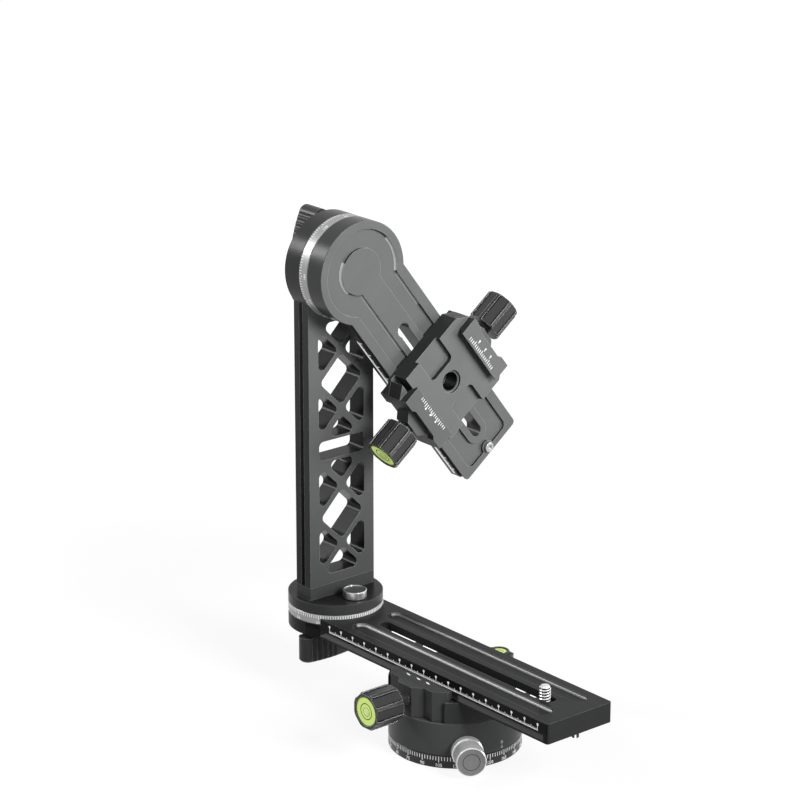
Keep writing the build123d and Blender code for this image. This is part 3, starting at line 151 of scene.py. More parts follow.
def mapped(tree, value, span, onto=(0.0, 1.0)):
    """A value taken from one span onto another, and held at its ends."""
    made = node(tree, "ShaderNodeMapRange")
    feed(tree, value, made.inputs["Value"])
    made.inputs["From Min"].default_value = span[0]
    made.inputs["From Max"].default_value = span[1]
    made.inputs["To Min"].default_value = onto[0]
    made.inputs["To Max"].default_value = onto[1]
    return made.outputs["Result"]


def mixed(tree, share, first, second, blend="MIX"):
    """The second colour mixed into the first by a share."""
    made = node(tree, "ShaderNodeMix", data_type="RGBA", blend_type=blend, clamp_result=False)
    feed(tree, share, made.inputs["Factor"])
    feed(tree, first, made.inputs["A"])
    feed(tree, second, made.inputs["B"])
    return made.outputs["Result"]


def noise(tree, where, scale, detail, roughness=0.5):
    """Cloudy noise over a surface."""
    made = node(tree, "ShaderNodeTexNoise")
    made.inputs["Scale"].default_value = scale
    made.inputs["Detail"].default_value = detail
    made.inputs["Roughness"].default_value = roughness
    tree.links.new(where, made.inputs["Vector"])
    return made.outputs["Fac"]


def part_of(tree, vector, axis):
    """One coordinate of a vector."""
    split = node(tree, "ShaderNodeSeparateXYZ")
    tree.links.new(vector, split.inputs["Vector"])
    return split.outputs[axis]


def inside(tree, where, spans):
    """1 where each span (axis, from, to), in mm, holds for the size of its coordinate, without the sign."""
    share = None
    for axis, low, high in spans:
        size = number(tree, "ABSOLUTE", part_of(tree, where, axis))
        span = number(tree, "COMPARE", size, (low + high) / 2 * MM, (high - low) / 2 * MM)
        share = span if share is None else number(tree, "MULTIPLY", share, span)
    return share


def grey(value):
    return (value, value, value, 1.0)


# ------------------------------------------------------------------ materials
BROAD_SCALE = 55
ROUGH_SPREAD = 0.05
COAT_ROUGHNESS = 0.12
WALL_SHADE_SPAN = (0.95, 0.45)
STREAK_SPAN = (0.3, 0.7)
EDGE_HIGHLIGHT_SPAN = (0.995, 0.82)
BEVEL_SAMPLES = 4
BUMP_DISTANCE = 0.0002


def surface(name, colour, rough, metallic=0.0, specular=0.5, mottle=0.12, grain=(2600, 0.10), lines=None,
            edge=None, coat=0.0, bevel=0.45, glow=0.0, zones=(), walls=1.0, fade=None):
    """A finish made of nodes. colour is linear, grain is (scale, strength) of the fine bump, lines is
    (scale along, scale across, strength, direction) of a brushed grain, bevel rounds the corners, in mm, and
    edge is the (tone, strength) of a painted highlight that shows on them, on hollow corners too. Each zone
    is (factor, spans): where its spans hold, the tone is multiplied. walls multiplies the tone of the faces
    that look across the object's x, as painted shade. fade is (axis, from, to, first, last): the factor on
    the tone runs from first to last between two places, in mm. glow is painted light: the colour shines as
    emission, though no part is a lamp."""
    material = bpy.data.materials.new(name)
    material.use_nodes = True
    tree = material.node_tree
    link = tree.links.new
    shader = tree.nodes["Principled BSDF"]
    shader.inputs["Metallic"].default_value = metallic
    shader.inputs["Specular IOR Level"].default_value = specular
    shader.inputs["Coat Weight"].default_value = coat
    shader.inputs["Coat Roughness"].default_value = COAT_ROUGHNESS
    shader.inputs["Emission Color"].default_value = tuple(colour) + (1,)
    shader.inputs["Emission Strength"].default_value = glow
    coordinates = node(tree, "ShaderNodeTexCoord")
    where = coordinates.outputs["Object"]

    broad = noise(tree, where, BROAD_SCALE, detail=4)
    darker = tuple(c * (1 - mottle) for c in colour) + (1,)
    lighter = tuple(min(1, c * (1 + mottle)) for c in colour) + (1,)
    shade = mixed(tree, broad, darker, lighter)
    for factor, spans in zones:
        shade = mixed(tree, inside(tree, where, spans), shade, grey(factor), "MULTIPLY")
    # painted shade and light: the tone is ramped from one height to another
    if fade:
        axis, low, high, first, last = fade
        ramp = mapped(tree, part_of(tree, where, axis), (low * MM, high * MM), (first, last))
        shade = mixed(tree, 1.0, shade, ramp, "MULTIPLY")
    # painted shade: faces that look away from the object's x are darkened
    if walls != 1.0:
        front = number(tree, "ABSOLUTE", part_of(tree, coordinates.outputs["Normal"], "X"))
        shade = mixed(tree, mapped(tree, front, WALL_SHADE_SPAN), shade, grey(walls), "MULTIPLY")

    height = noise(tree, where, grain[0], detail=3, roughness=0.6)
    if lines:
        along, across, strength, direction = lines
        stretch = node(tree, "ShaderNodeMapping")
        stretch.inputs["Scale"].default_value = tuple(along if d else across for d in direction)
        link(where, stretch.inputs["Vector"])
        streaks = noise(tree, stretch.outputs["Vector"], 1, detail=4)
        shade = mixed(tree, strength, shade, mapped(tree, streaks, STREAK_SPAN), "MULTIPLY")
        height = number(tree, "ADD", height, streaks)

    bump = node(tree, "ShaderNodeBump")
    bump.inputs["Strength"].default_value = grain[1]
    bump.inputs["Distance"].default_value = BUMP_DISTANCE
    link(height, bump.inputs["Height"])
    link(bump.outputs["Normal"], shader.inputs["Normal"])
    if bevel:
        rounded = node(tree, "ShaderNodeBevel", samples=BEVEL_SAMPLES)
        rounded.inputs["Radius"].default_value = bevel * MM
        link(rounded.outputs["Normal"], bump.inputs["Normal"])
    # painted highlight: where the rounded normal turns from the true one, at edges and hollow corners alike,
    # the tone is mixed towards a light grey
    if bevel and edge:
        true = node(tree, "ShaderNodeNewGeometry")
        turn = node(tree, "ShaderNodeVectorMath", operation="DOT_PRODUCT")
        link(rounded.outputs["Normal"], turn.inputs[0])
        link(true.outputs["Normal"], turn.inputs[1])
        edge_highlight_share = mapped(tree, turn.outputs["Value"], EDGE_HIGHLIGHT_SPAN, (0.0, edge[1]))
        shade = mixed(tree, edge_highlight_share, shade, grey(edge[0]))
    link(shade, shader.inputs["Base Color"])

    gloss = mapped(tree, broad, (0.0, 1.0), (max(0.02, rough - ROUGH_SPREAD), min(1, rough + ROUGH_SPREAD)))
    link(gloss, shader.inputs["Roughness"])
    return material


def black(name, tone, rough=0.36, **more):
    more.setdefault("specular", 0.07)
    # every black finish gets a painted highlight on its edges unless told otherwise
    more.setdefault("edge", (min(0.7, tone * 2.4 + 0.08), 0.95))
    return surface(name, (tone * 0.98, tone, tone * 1.005), rough, **more)


def satin(name, tone, rough, **more):
    more.setdefault("metallic", 0.9)
    # every satin finish gets a painted highlight on its edges unless told otherwise
    more.setdefault("edge", (min(0.95, tone * 1.6), 0.7))
    more.setdefault("mottle", 0.05)
    return surface(name, (tone, tone, tone * 1.01), rough, **more)


# a brushed grain, and the zones of a node that are lighter or darker than the rest of it
RAIL_LINES = (14, 5200, 0.45, (1, 0, 0))
# painted light: the band of the rail's flange is made 2.6 times lighter
RAIL_FLANGE_LIGHT = (2.6, (("Z", 30.0, 43.35), ("X", 0.0, 97.2)))
# painted shade: the turntable disc's top is made darker than its side
DISC_TOP_SHADE = (0.35, (("Z", 57.3, 58.0),))
# painted shade in the openings of the upright's lattice
LATTICE_SHADE = (0.30, (("X", 96.75, 108.25), ("Y", 0.0, 20.5), ("Z", 60.0, 216.0)))
# the rail's sides are made darker than its top, to a fifth of the tone
RAIL_SIDES_DARKER = (0.2, (("Y", 22.4, 30.0), ("X", 0.0, 97.2)))
finishes = {
    "rotor": black("anodised_rotor", 0.115, 0.36),
    "ring": black("anodised_base_ring", 0.035, 0.3, specular=0.3),
    "clamp_low": black("anodised_lower_clamp", 0.06, edge=(0.32, 1.0)),
    "jaw_low": black("anodised_lower_jaw", 0.08),
    "rail": black("anodised_rail", 0.042, specular=0.05, lines=RAIL_LINES,
                  zones=(RAIL_FLANGE_LIGHT, RAIL_SIDES_DARKER)),
    "disc": black("anodised_disc", 0.060, 0.3, specular=0.08, edge=(0.22, 0.9), zones=(DISC_TOP_SHADE,)),
    # the upright: painted shade on its sides and in its lattice, and a painted ramp, darker towards its foot
    # and lighter towards its top
    "upright": black("anodised_upright", 0.15, 0.3, specular=0.10, walls=0.26, zones=(LATTICE_SHADE,),
                     fade=("Z", 60, 235, 0.5, 1.3)),
    # painted shade on the sides of the swing arm, the clamp and the jaws
    "swing": black("anodised_swing_arm", 0.18, 0.3, specular=0.12, walls=0.40),
    "clamp": black("anodised_clamp", 0.205, walls=0.28),
    "jaw": black("anodised_jaw", 0.17, walls=0.35),
    # painted highlight: the edges of the knobs' ribs are mixed almost to white
    "knob": black("moulded_knob", 0.036, 0.28, specular=0.3, grain=(1900, 0.2), edge=(0.80, 1.0)),
    "wing": black("moulded_wing", 0.045, 0.34, specular=0.2, grain=(1900, 0.14), edge=(0.36, 0.95)),
    # painted shade: near-black strips where the knobs are fluted
    "groove_shade": black("knob_groove_shade", 0.006, 0.5, bevel=0, edge=None),
    "black_screw": black("black_oxide", 0.03, 0.3, specular=0.3),
    "scale_ring": satin("anodised_scale_ring", 0.42, 0.38, metallic=0.3),
    # painted light: the satin aluminium glows at 0.12
    "silver": satin("satin_aluminium", 0.85, 0.28, metallic=0.35, glow=0.12),
    "lock_plate": satin("turned_face", 0.27, 0.42, metallic=0.3, lines=(300, 3000, 0.2, (0, 0, 1))),
    "button": satin("bright_aluminium", 0.62, 0.30),
    "dish": satin("dished_face", 0.13, 0.42, metallic=0.3, edge=None),
    "steel": satin("plain_steel", 0.50, 0.25, metallic=1.0),
    "thread": satin("bright_thread", 0.80, 0.28, metallic=0.7, bevel=0, edge=None),
    # painted shade: the thread's hollows and the stud's neck are near black
    "thread_root_shade": black("thread_root_shade", 0.01, 0.5, bevel=0, edge=None),
    "bush_thread": satin("dark_thread", 0.16, 0.4, metallic=0.0, specular=0.3, bevel=0, edge=None),
    # painted shade: the inside of the camera clamp's bush is near black
    "bush_root_shade": black("dark_thread_root_shade", 0.006, 0.5, bevel=0, edge=None),
    "brass": surface("brass", (0.60, 0.42, 0.17), 0.3, metallic=1.0, mottle=0.08, bevel=0),
    "nylon": surface("white_nylon", (0.72, 0.72, 0.70), 0.5, grain=(1500, 0.05)),
    "nylon_black": black("black_nylon", 0.03, 0.5),
    # painted light: the level's fluid glows at 0.6
    "lime": surface("level_fluid", (0.56, 0.72, 0.18), 0.3, specular=0.3, mottle=0.05, grain=(900, 0.02),
                    glow=0.6),
    "olive": surface("level_mark", (0.045, 0.07, 0.006), 0.4, mottle=0.1, bevel=0),
    # painted light: the bubble glows at 0.4
    "bubble": surface("level_bubble", (0.66, 0.82, 0.26), 0.15, mottle=0.04, coat=0.5, glow=0.4, bevel=0),
    # painted light: the white marks glow at 0.34
    "paint": surface("white_marking", (0.86, 0.86, 0.85), 0.5, specular=0.3, mottle=0.04, grain=(1500, 0.03),
                     glow=0.34, bevel=0),
    # painted light: marks on shaded sides glow at 0.75; the same finish makes the painted highlight on the
    # rim of the rail's slot
    "glowing_paint_and_glint": surface("white_side_marking_and_glint", (0.86, 0.86, 0.85), 0.5, specular=0.3, mottle=0.04, glow=0.75,
                          bevel=0),
    # painted light: a glow of 0.15; printed index marks, and the painted highlights on the round sides of the
    # swing arm's recess
    "grey_paint_and_highlight": surface("grey_marking_and_highlight", (0.45, 0.45, 0.45), 0.5, specular=0.3, mottle=0.04, glow=0.15,
                          bevel=0),
    "ink": black("dark_marking", 0.03, 0.5, bevel=0, edge=None),
    # painted highlight: bright skins on the sides of the rail's channels and the swing arm's recess, a dimmer
    # one on the rail's rear channel
    "cove": satin("groove_edge_highlight", 0.34, 0.36, metallic=0.2, bevel=0, edge=None),
    "cove_highlight_dim": satin("groove_edge_highlight_dim", 0.22, 0.36, metallic=0.2, bevel=0, edge=None),
}

node_finish = {
    "ring": ["base_ring"],
    "rotor": ["rotor_body"],
    "clamp_low": ["lower_clamp_body"],
    "jaw_low": ["lower_jaw"],
    "rail": ["rail"],
    "disc": ["turntable_disc"],
    "upright": ["vertical_arm"],
    "swing": ["swing_arm"],
    "clamp": ["camera_clamp_body"],
    "jaw": ["camera_jaw", "arm_jaw"],
    "knob": ["lower_clamp_knob", "camera_knob", "arm_knob", "arm_knob_cap"],
    "wing": ["turntable_knob", "tilt_knob"],
    "scale_ring": ["tilt_ring", "turntable_ring"],
    "silver": ["lock_knob", "lock_collar"],
    "button": ["release_button"],
    "steel": ["arm_stop_screw", "slot_stud", "lower_clamp_screw", "camera_clamp_screw", "arm_clamp_screw",
              "lower_guide_pins", "camera_jaw_pins", "arm_jaw_pins", "lower_screw_clip", "camera_screw_clip",
              "arm_screw_clip", "turntable_spindle", "tilt_spindle", "turntable_washer", "tilt_washer",
              "turntable_nut", "tilt_nut", "button_spring", "pan_spindle"],
    "brass": ["rotor_bush", "tripod_bush"],
    "black_screw": ["clamp_mount_screws", "arm_screws", "rail_stop_screw", "pan_retainer", "rear_level_cup",
                    "camera_thread_bush"],
    "nylon": ["thrust_washer", "turntable_slip_ring", "tilt_slip_ring"],
    "nylon_black": ["brake_pad"],
    "lime": ["lower_knob_level", "camera_knob_level", "rear_level_vial"],
}
for finish, names in node_finish.items():
    for name in names:
        slots = nodes[name].data.materials
        slots.clear()
        slots.append(finishes[finish])


# ------------------------------------------------------------------ pieces
def piece(name, verts, faces, finish, body, smooth=False):
    """A mesh with a finish, which rides on a body."""
    mesh = bpy.data.meshes.new(name)
    mesh.from_pydata([tuple(v) for v in verts], [], faces)
    mesh.validate()
    built = bmesh.new()
    built.from_mesh(mesh)
    bmesh.ops.recalc_face_normals(built, faces=built.faces)
    built.to_mesh(mesh)
    built.free()
    for polygon in mesh.polygons:
        polygon.use_smooth = smooth
    made = bpy.data.objects.new(name, mesh)
    bpy.context.scene.collection.objects.link(made)
    mesh.materials.append(finishes[finish])
    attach(made, body)
    return made


def band(first, second, count):
    """The faces between two rings of points, each given by the number of its first point."""
    return [(first + n, first + (n + 1) % count, second + (n + 1) % count, second + n) for n in range(count)]


BLOCK_FACES = ((0, 1, 3, 2), (4, 6, 7, 5), (0, 4, 5, 1), (2, 3, 7, 6), (0, 2, 6, 4), (1, 5, 7, 3))
SINK = 0.12
PROUD = 0.035
RING_PROUD = 0.012


class Marks:
    """Marks on one body: thin raised strips, dots and figures, gathered into one mesh: printed marks, painted
    highlights, painted shade and thin plates.
    """

    def __init__(self):
        self.verts = []
        self.faces = []

    def block(self, corner):
        """A block whose eight corners come from a function of three choices, each 0 or 1."""
        first = len(self.verts)
        for i in (0, 1):
            for j in (0, 1):
                for k in (0, 1):
                    self.verts.append(corner(i, j, k))
        self.faces += [tuple(first + n for n in face) for face in BLOCK_FACES]

    def strip(self, place, x0, x1, y0, y1):
        """A straight strip on a face."""
        self.block(lambda i, j, k: place.at((x0, x1)[i], (y0, y1)[j], (-SINK, PROUD)[k]))

    def spot(self, place, x, y, radius, sides=14, proud=PROUD):
        """A dot on a face."""
        first = len(self.verts)
        for z in (-SINK, proud):
            for n in range(sides):
                turn = 2 * pi * n / sides
                self.verts.append(place.at(x + radius * cos(turn), y + radius * sin(turn), z))
        self.faces.append(tuple(first + n for n in range(sides)))
        self.faces.append(tuple(first + sides + n for n in range(sides)))
        self.faces += band(first, first + sides, sides)

    def tick(self, axis, radius, turn, half_width, low, high):
        """A strip across a ring, at a turn in degrees about the ring's axis."""
        def corner(i, j, k):
            angle = radians(turn) + (half_width if i else -half_width) / radius
            reach = radius + (RING_PROUD if k else -SINK)
            return axis.at(reach * cos(angle), reach * sin(angle), (low, high)[j])
        self.block(corner)

    def figure(self, text, size, put):
        """Digits as a thin mesh: put gives each point's place from its x, y and height."""
        curve = bpy.data.curves.new("figure", "FONT")
        curve.body = text
        curve.size = size
        curve.align_x = "CENTER"
        curve.extrude = 0.5
        curve.resolution_u = 2
        curve.offset = 0.015 * size
        holder = bpy.data.objects.new("figure", curve)
        bpy.context.scene.collection.objects.link(holder)
        graph = bpy.context.evaluated_depsgraph_get()
        shape = bpy.data.meshes.new_from_object(holder.evaluated_get(graph))
        first = len(self.verts)
        for vertex in shape.vertices:
            x, y, z = vertex.co
            self.verts.append(put(x, y, RING_PROUD if z > 0 else -SINK))
        self.faces += [tuple(first + n for n in polygon.vertices) for polygon in shape.polygons]
        bpy.data.objects.remove(holder)
        bpy.data.curves.remove(curve)
        bpy.data.meshes.remove(shape)

    def finish(self, name, finish, body):
        piece(name, self.verts, self.faces, finish, body)


# ------------------------------------------------------------------ degree scales and their pointers
TICK_HALF = 0.2
LONG_TICK_HALF = 0.24
BASE_RADIUS = end_of("base_ring", HIGH, X)
TURNTABLE_RADIUS = end_of("turntable_ring", HIGH, X) - middle("turntable_ring", X)
TILT_RADIUS = end_of("tilt_ring", HIGH, Y)


def ring_scale(name, axis, radius, body, step, per_figure, size, ticks, long_start, figure_foot, first=0.0,
               down=False):
    """Ticks every step degrees round a ring, and a number at each long one, which comes every per_figure
    ticks. ticks is where a tick starts and ends along the axis, and long_start where a long one starts.
    With down, the numbers stand with their tops toward -z."""
    marks = Marks()
    flip = -1 if down else 1
    for n in range(round(360 / step)):
        turn = first + n * step
        longer = n % per_figure == 0
        marks.tick(axis, radius, turn, LONG_TICK_HALF if longer else TICK_HALF,
                   long_start if longer else ticks[0], ticks[1])
        if longer:
            def put(x, y, z, turn=turn):
                angle = radians(turn) + flip * x / radius
                reach = radius + z
                return axis.at(reach * cos(angle), reach * sin(angle), figure_foot + flip * y)

            marks.figure(str(round(n * step)), size, put)
    marks.finish(name, "paint", body)


ring_scale("base_scale", PAN, BASE_RADIUS, "base", step=2.5, per_figure=6, size=2.7, ticks=(4.3, 6.5),
           long_start=3.3, figure_foot=0.75, first=-160)

# the mark on the rotor that reads the base scale, with bars across it
INDEX_TURN = 2.3
INDEX_BAR = 0.45
index = Marks()
index.tick(PAN, BASE_RADIUS, INDEX_TURN, 0.16, 7.75, 12.6)
for low, half_width in ((8.2, 0.75), (8.8, 0.5), (11.0, 0.9), (11.5, 0.6), (12.0, 0.35)):
    index.tick(PAN, BASE_RADIUS, INDEX_TURN, half_width, low, low + INDEX_BAR)
index.finish("rotor_index", "grey_paint_and_highlight", "rotor")

# the turntable's and the tilt ring's scales, and the marks that read them
ring_scale("turntable_scale", TURNTABLE, TURNTABLE_RADIUS, "rail", step=3, per_figure=10, size=2.1,
           ticks=(49.3, 51.1), long_start=48.7, figure_foot=46.25)
ring_scale("tilt_scale", SWING, TILT_RADIUS, "arm", step=3, per_figure=10, size=2.5, ticks=(-95.9, -94.2),
           long_start=-93.4, figure_foot=-90.4, down=True)
POINTER_HALF = 0.25
for name, axis, radius, body, turn, low, high in (
    ("turntable_index", TURNTABLE, TURNTABLE_RADIUS, "arm", 180, 51.95, 54.4),
    ("tilt_index", SWING, TILT_RADIUS, "swing", -127.4, -88.9, -86.2),
):
    pointer = Marks()
    pointer.tick(axis, radius, turn, POINTER_HALF, low, high)
    pointer.finish(name, "grey_paint_and_highlight", body)


# ------------------------------------------------------------------ millimetre scales
def by_tens(n, tenth, fifth, other):
    """One value for each tenth mark, one for each fifth, and one for the others."""
    if n % 10 == 0:
        return tenth
    return other if n % 5 else fifth


# along the rail, with dots every 10 mm
RAIL_LINE = (43.8, 44.12)
RAIL_LINE_ENDS = (-80.0, 90.4)
RAIL_FIRST_TICK = -79.84
RAIL_TICK_HALF = 0.17
RAIL_TICK_COUNT = 171
RAIL_DOT_Z = 47.2
RAIL_DOT_RADIUS = 0.75
rail_scale = Marks()
rail_scale.strip(RAIL_SIDE, *RAIL_LINE_ENDS, *RAIL_LINE)
for n in range(RAIL_TICK_COUNT):
    x = RAIL_FIRST_TICK + n
    top = by_tens(n, 46.9, 45.7, 45.0)
    rail_scale.strip(RAIL_SIDE, x - RAIL_TICK_HALF, x + RAIL_TICK_HALF, RAIL_LINE[0], top)
    if n % 10 == 0:
        rail_scale.spot(RAIL_SIDE, x, RAIL_DOT_Z, RAIL_DOT_RADIUS)
rail_scale.finish("rail_scale", "paint", "rail")

# down the side of the swing arm, on a line along its back edge; the clamp hides the middle
ARM_LINE = (-86.1, -85.2)
ARM_LINE_ENDS = (34.0, 150.0)
ARM_FIRST_TICK = 35.0
ARM_TICK_COUNT = 115
arm_scale = Marks()


def arm_mark(start, end, low, high):
    """A strip on the arm's side, between two places down the arm and two along x."""
    def corner(i, j, k):
        return on_arm((low, high)[j], (start, end)[i], -SWING_HALF - (PROUD if k else -SINK)) * MM
    arm_scale.block(corner)


arm_mark(*ARM_LINE_ENDS, *ARM_LINE)
for n in range(ARM_TICK_COUNT):
    along = ARM_FIRST_TICK + n
    foot = ARM_LINE[1] - 0.1
    arm_mark(along - TICK_HALF, along + TICK_HALF, foot, foot + by_tens(n, 3.0, 1.9, 1.2))
arm_scale.finish("swing_arm_scale", "glowing_paint_and_glint", "swing")


# ------------------------------------------------------------------ scales and marks on the jaws' lips
LIP_PITCH = 1.6
LIP_TICK_HALF = 0.24
LIP_LONG = 0.8
LIP_DOT_RADIUS = 0.62
for name, body, inner, outer, dots_at, dots, shift in (
    ("camera_jaw_scale", "camera_jaw", -21.0, -22.9, -23.9, (-5.1, 0.9, 6.4), 0.0),
    ("clamp_lip_scale", "clamp", 21.2, 23.2, 25.9, (-6.2, 0.0, 7.0), 0.8),
):
    lip = Marks()
    side = 1 if outer > 0 else -1
    for n in range(-8, 9):
        end = outer + (0 if n % 5 else LIP_LONG) * side
        low, high = sorted((inner, end))
        along = shift + n * LIP_PITCH
        lip.strip(CLAMP_TOP, low, high, along - LIP_TICK_HALF, along + LIP_TICK_HALF)
    for along in dots:
        lip.spot(CLAMP_TOP, dots_at, along, LIP_DOT_RADIUS)
        low, high = sorted((dots_at, dots_at - LIP_PITCH * side))
        lip.strip(CLAMP_TOP, low, high, along - TICK_HALF, along + TICK_HALF)
    lip.finish(name, "paint", body)

# slanted marks and ticks on the lower jaw
SLANT_HALF = (1.3, 0.55)
SLANT = 0.9
SLANT_Y = -25.4
JAW_TICK_FOOT = -22.6
lower_marks = Marks()
for x in (-9.2, -0.9, 6.7):
    lower_marks.block(lambda i, j, k: JAW_TOP.at(x + (SLANT_HALF[0], -SLANT_HALF[0])[i] + (SLANT, -SLANT)[j],
                                                 SLANT_Y + (-SLANT_HALF[1], SLANT_HALF[1])[j],
                                                 (-SINK, PROUD)[k]))
for n in range(-9, 10):
    x = LIP_PITCH * n
    lower_marks.strip(JAW_TOP, x - TICK_HALF, x + TICK_HALF, JAW_TICK_FOOT, -20.9 if n % 5 else -20.5)
lower_marks.finish("lower_jaw_marks", "paint", "lower_jaw")


# ------------------------------------------------------------------ the rail's channels, with painted highlights on their sides
CHANNEL_FLOOR = 47.8
CHANNEL_DEPTH = 1.65
CHANNEL_ENDS = (-69.5, 88.0)
CHANNEL_CORNER = 4.5
FRONT_CHANNEL_WALL = -7.25
REAR_CHANNEL_WALL = 17.4
COVE = 1.15
COVE_SKIN = 0.03
COVE_LIFT = 0.02
COVE_ROOT = 0.1


def cove(name, path, depth, finish, body):
    """A bright skin over a channel's wall, with a hollow foot: a painted highlight. path is a list of (foot,
    way off the wall, way up).
    """
    section = [(-COVE_ROOT, depth), (COVE_SKIN, depth)]
    for step in range(7):
        turn = step / 6 * pi / 2
        section.append((COVE_SKIN + COVE * (1 - cos(turn)), COVE_LIFT + COVE * (1 - sin(turn))))
    section += [(COVE_SKIN + COVE, -COVE_ROOT), (-COVE_ROOT, -COVE_ROOT)]
    verts = [(Vector(foot) + Vector(off) * out + Vector(up) * height) * MM
             for foot, off, up in path for out, height in section]
    count = len(section)
    last = (len(path) - 1) * count
    faces = [tuple(range(count)), tuple(range(last, last + count))]
    for row in range(len(path) - 1):
        faces += band(row * count, (row + 1) * count, count)
    piece(name, verts, faces, finish, body)


def channel_path(wall):
    """Round a channel's first corner and along its wall on the +y side."""
    start, end = CHANNEL_ENDS
    straight = start + CHANNEL_CORNER
    path = []
    for step in range(10):
        turn = pi - step / 9 * pi / 2
        path.append(((straight + CHANNEL_CORNER * cos(turn), wall - CHANNEL_CORNER * (1 - sin(turn)),
                      CHANNEL_FLOOR), (-cos(turn), -sin(turn), 0), Z_WAY))
    for share in (0.01, 0.5, 1.0):
        along = straight + share * (end - start - 1.7 * CHANNEL_CORNER)
        path.append(((along, wall, CHANNEL_FLOOR), MINUS_Y, Z_WAY))
    return path


# painted highlight: the front channel's side bright, the rear one dimmer
cove("front_groove_highlight", channel_path(FRONT_CHANNEL_WALL), CHANNEL_DEPTH, "cove", "rail")
cove("rear_groove_highlight", channel_path(REAR_CHANNEL_WALL), CHANNEL_DEPTH, "cove_highlight_dim", "rail")


# ------------------------------------------------------------------ the swing arm's recess, with painted highlights on its sides
RECESS_DEPTH = 1.7
RECESS_RADIUS = 24.3
RECESS_HALF = 16.9
PLATFORM_RADIUS = 13.1
PLATFORM_RISE = 1.2
PLATFORM_HALF = 7.4
RECESS_FLOOR = end_of("swing_arm", HIGH, X) - RECESS_DEPTH
RECESS_COVE = RECESS_DEPTH - 0.02


def round_wall(start, end, radius, rise, way, steps=24):
    """Part of a round wall between two turns in degrees. Its centre lies rise up the arm from the joint, and
    way is 1 for a wall that looks outward and -1 for one that looks inward."""
    path = []
    for step in range(steps + 1):
        turn = radians(start + (end - start) * step / steps)
        off = Vector((0, cos(turn), sin(turn)))
        path.append((on_arm(RECESS_FLOOR, -rise) + off * radius, off * way, X_WAY))
    return path


def straight_wall(across, start, end):
    """A wall along the arm, between two places down it."""
    places = (start, (start + end) / 2, end)
    return [(on_arm(RECESS_FLOOR, along, across), AGAINST, X_WAY) for along in places]


# painted highlight: bright skins over the sides of the raised platform and of the recess, grey on the round
# ones
cove("platform_round_highlight", round_wall(150, 232, PLATFORM_RADIUS, PLATFORM_RISE, 1), RECESS_COVE,
     "grey_paint_and_highlight", "swing")
cove("platform_straight_highlight", straight_wall(-PLATFORM_HALF, 10.5, 56), RECESS_COVE, "cove", "swing")
cove("recess_round_highlight", round_wall(44, -7, RECESS_RADIUS, 0, -1), RECESS_COVE, "grey_paint_and_highlight", "swing")
cove("recess_straight_highlight", straight_wall(RECESS_HALF, 18.5, 44), RECESS_COVE, "cove", "swing")


# ------------------------------------------------------------------ painted highlights along the front rim of the rail's slot
SLOT_EDGE = -3.5
RIM_WIDTH = 0.9
RIM_SLANT = 0.6
RIM_HEIGHTS = (RAIL_TOP - SINK, RAIL_TOP + 0.03)
slot_rim_highlight = Marks()
for start, end in ((-49.0, -28.5), (-22.7, -10.8), (52.4, 60.3), (63.5, 68.5)):
    slot_rim_highlight.block(lambda i, j, k: Vector(((start, end)[i] + (RIM_SLANT, -RIM_SLANT)[i] * j,
                                           SLOT_EDGE - RIM_WIDTH * j, RIM_HEIGHTS[k])) * MM)
slot_rim_highlight.finish("slot_rim_highlight", "glowing_paint_and_glint", "rail")


# ------------------------------------------------------------------ turned and threaded pieces
ON_AXIS = 0.001
MERGE = 1e-7


def turned(name, place, profile, finish, body, replaces, thread=None, root=None, root_span=None, sides=64):
    """A solid of revolution about a place's z, which replaces a node. profile is a closed list of (radius,
    height, threaded) points, and a threaded point moves in and out along a helix: thread is (pitch, depth).
    root is the finish of the hollows, and root_span says where they are: from, to, inner and outer radius."""
    verts = []
    faces = []
    rows = len(profile)
    for radius, height, threaded in profile:
        for n in range(sides):
            angle = 2 * pi * n / sides
            reach = radius
            if threaded:
                pitch, depth = thread
                phase = (height / pitch - n / sides) % 1.0
                reach += depth * (abs(2 * phase - 1) - 0.5) * 2
            verts.append(place.at(reach * cos(angle), reach * sin(angle), height))
    for row in range(rows):
        after = (row + 1) % rows
        if after == 0 and profile[0][0] == profile[-1][0] == ON_AXIS:
            continue
        faces += band(row * sides, after * sides, sides)
    made = piece(name, verts, faces, finish, body)
    # painted shade: the hollows get the root finish
    if root:
        made.data.materials.append(finishes[root])
        start, end, inner, outer = root_span
        for polygon in made.data.polygons:
            away = polygon.center - place.origin * MM
            rise = away.dot(place.z)
            reach = (away - place.z * rise).length
            if start < rise / MM < end and inner < reach / MM < outer:
                polygon.material_index = 1
    shape = bmesh.new()
    shape.from_mesh(made.data)
    bmesh.ops.remove_doubles(shape, verts=shape.verts, dist=MERGE)
    bmesh.ops.recalc_face_normals(shape, faces=shape.faces)
    shape.to_mesh(made.data)
    shape.free()
    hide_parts(replaces)


def thread_rows(radius, low, high, pitch):
    """Threaded points of a profile, ten to each turn of the thread."""
    count = ceil((high - low) / pitch * 10)
    return [(radius, low + (high - low) * n / count, True) for n in range(count + 1)]


def plain(*points):
    """Points of a profile that no thread moves."""
    return [(radius, height, False) for radius, height in points]


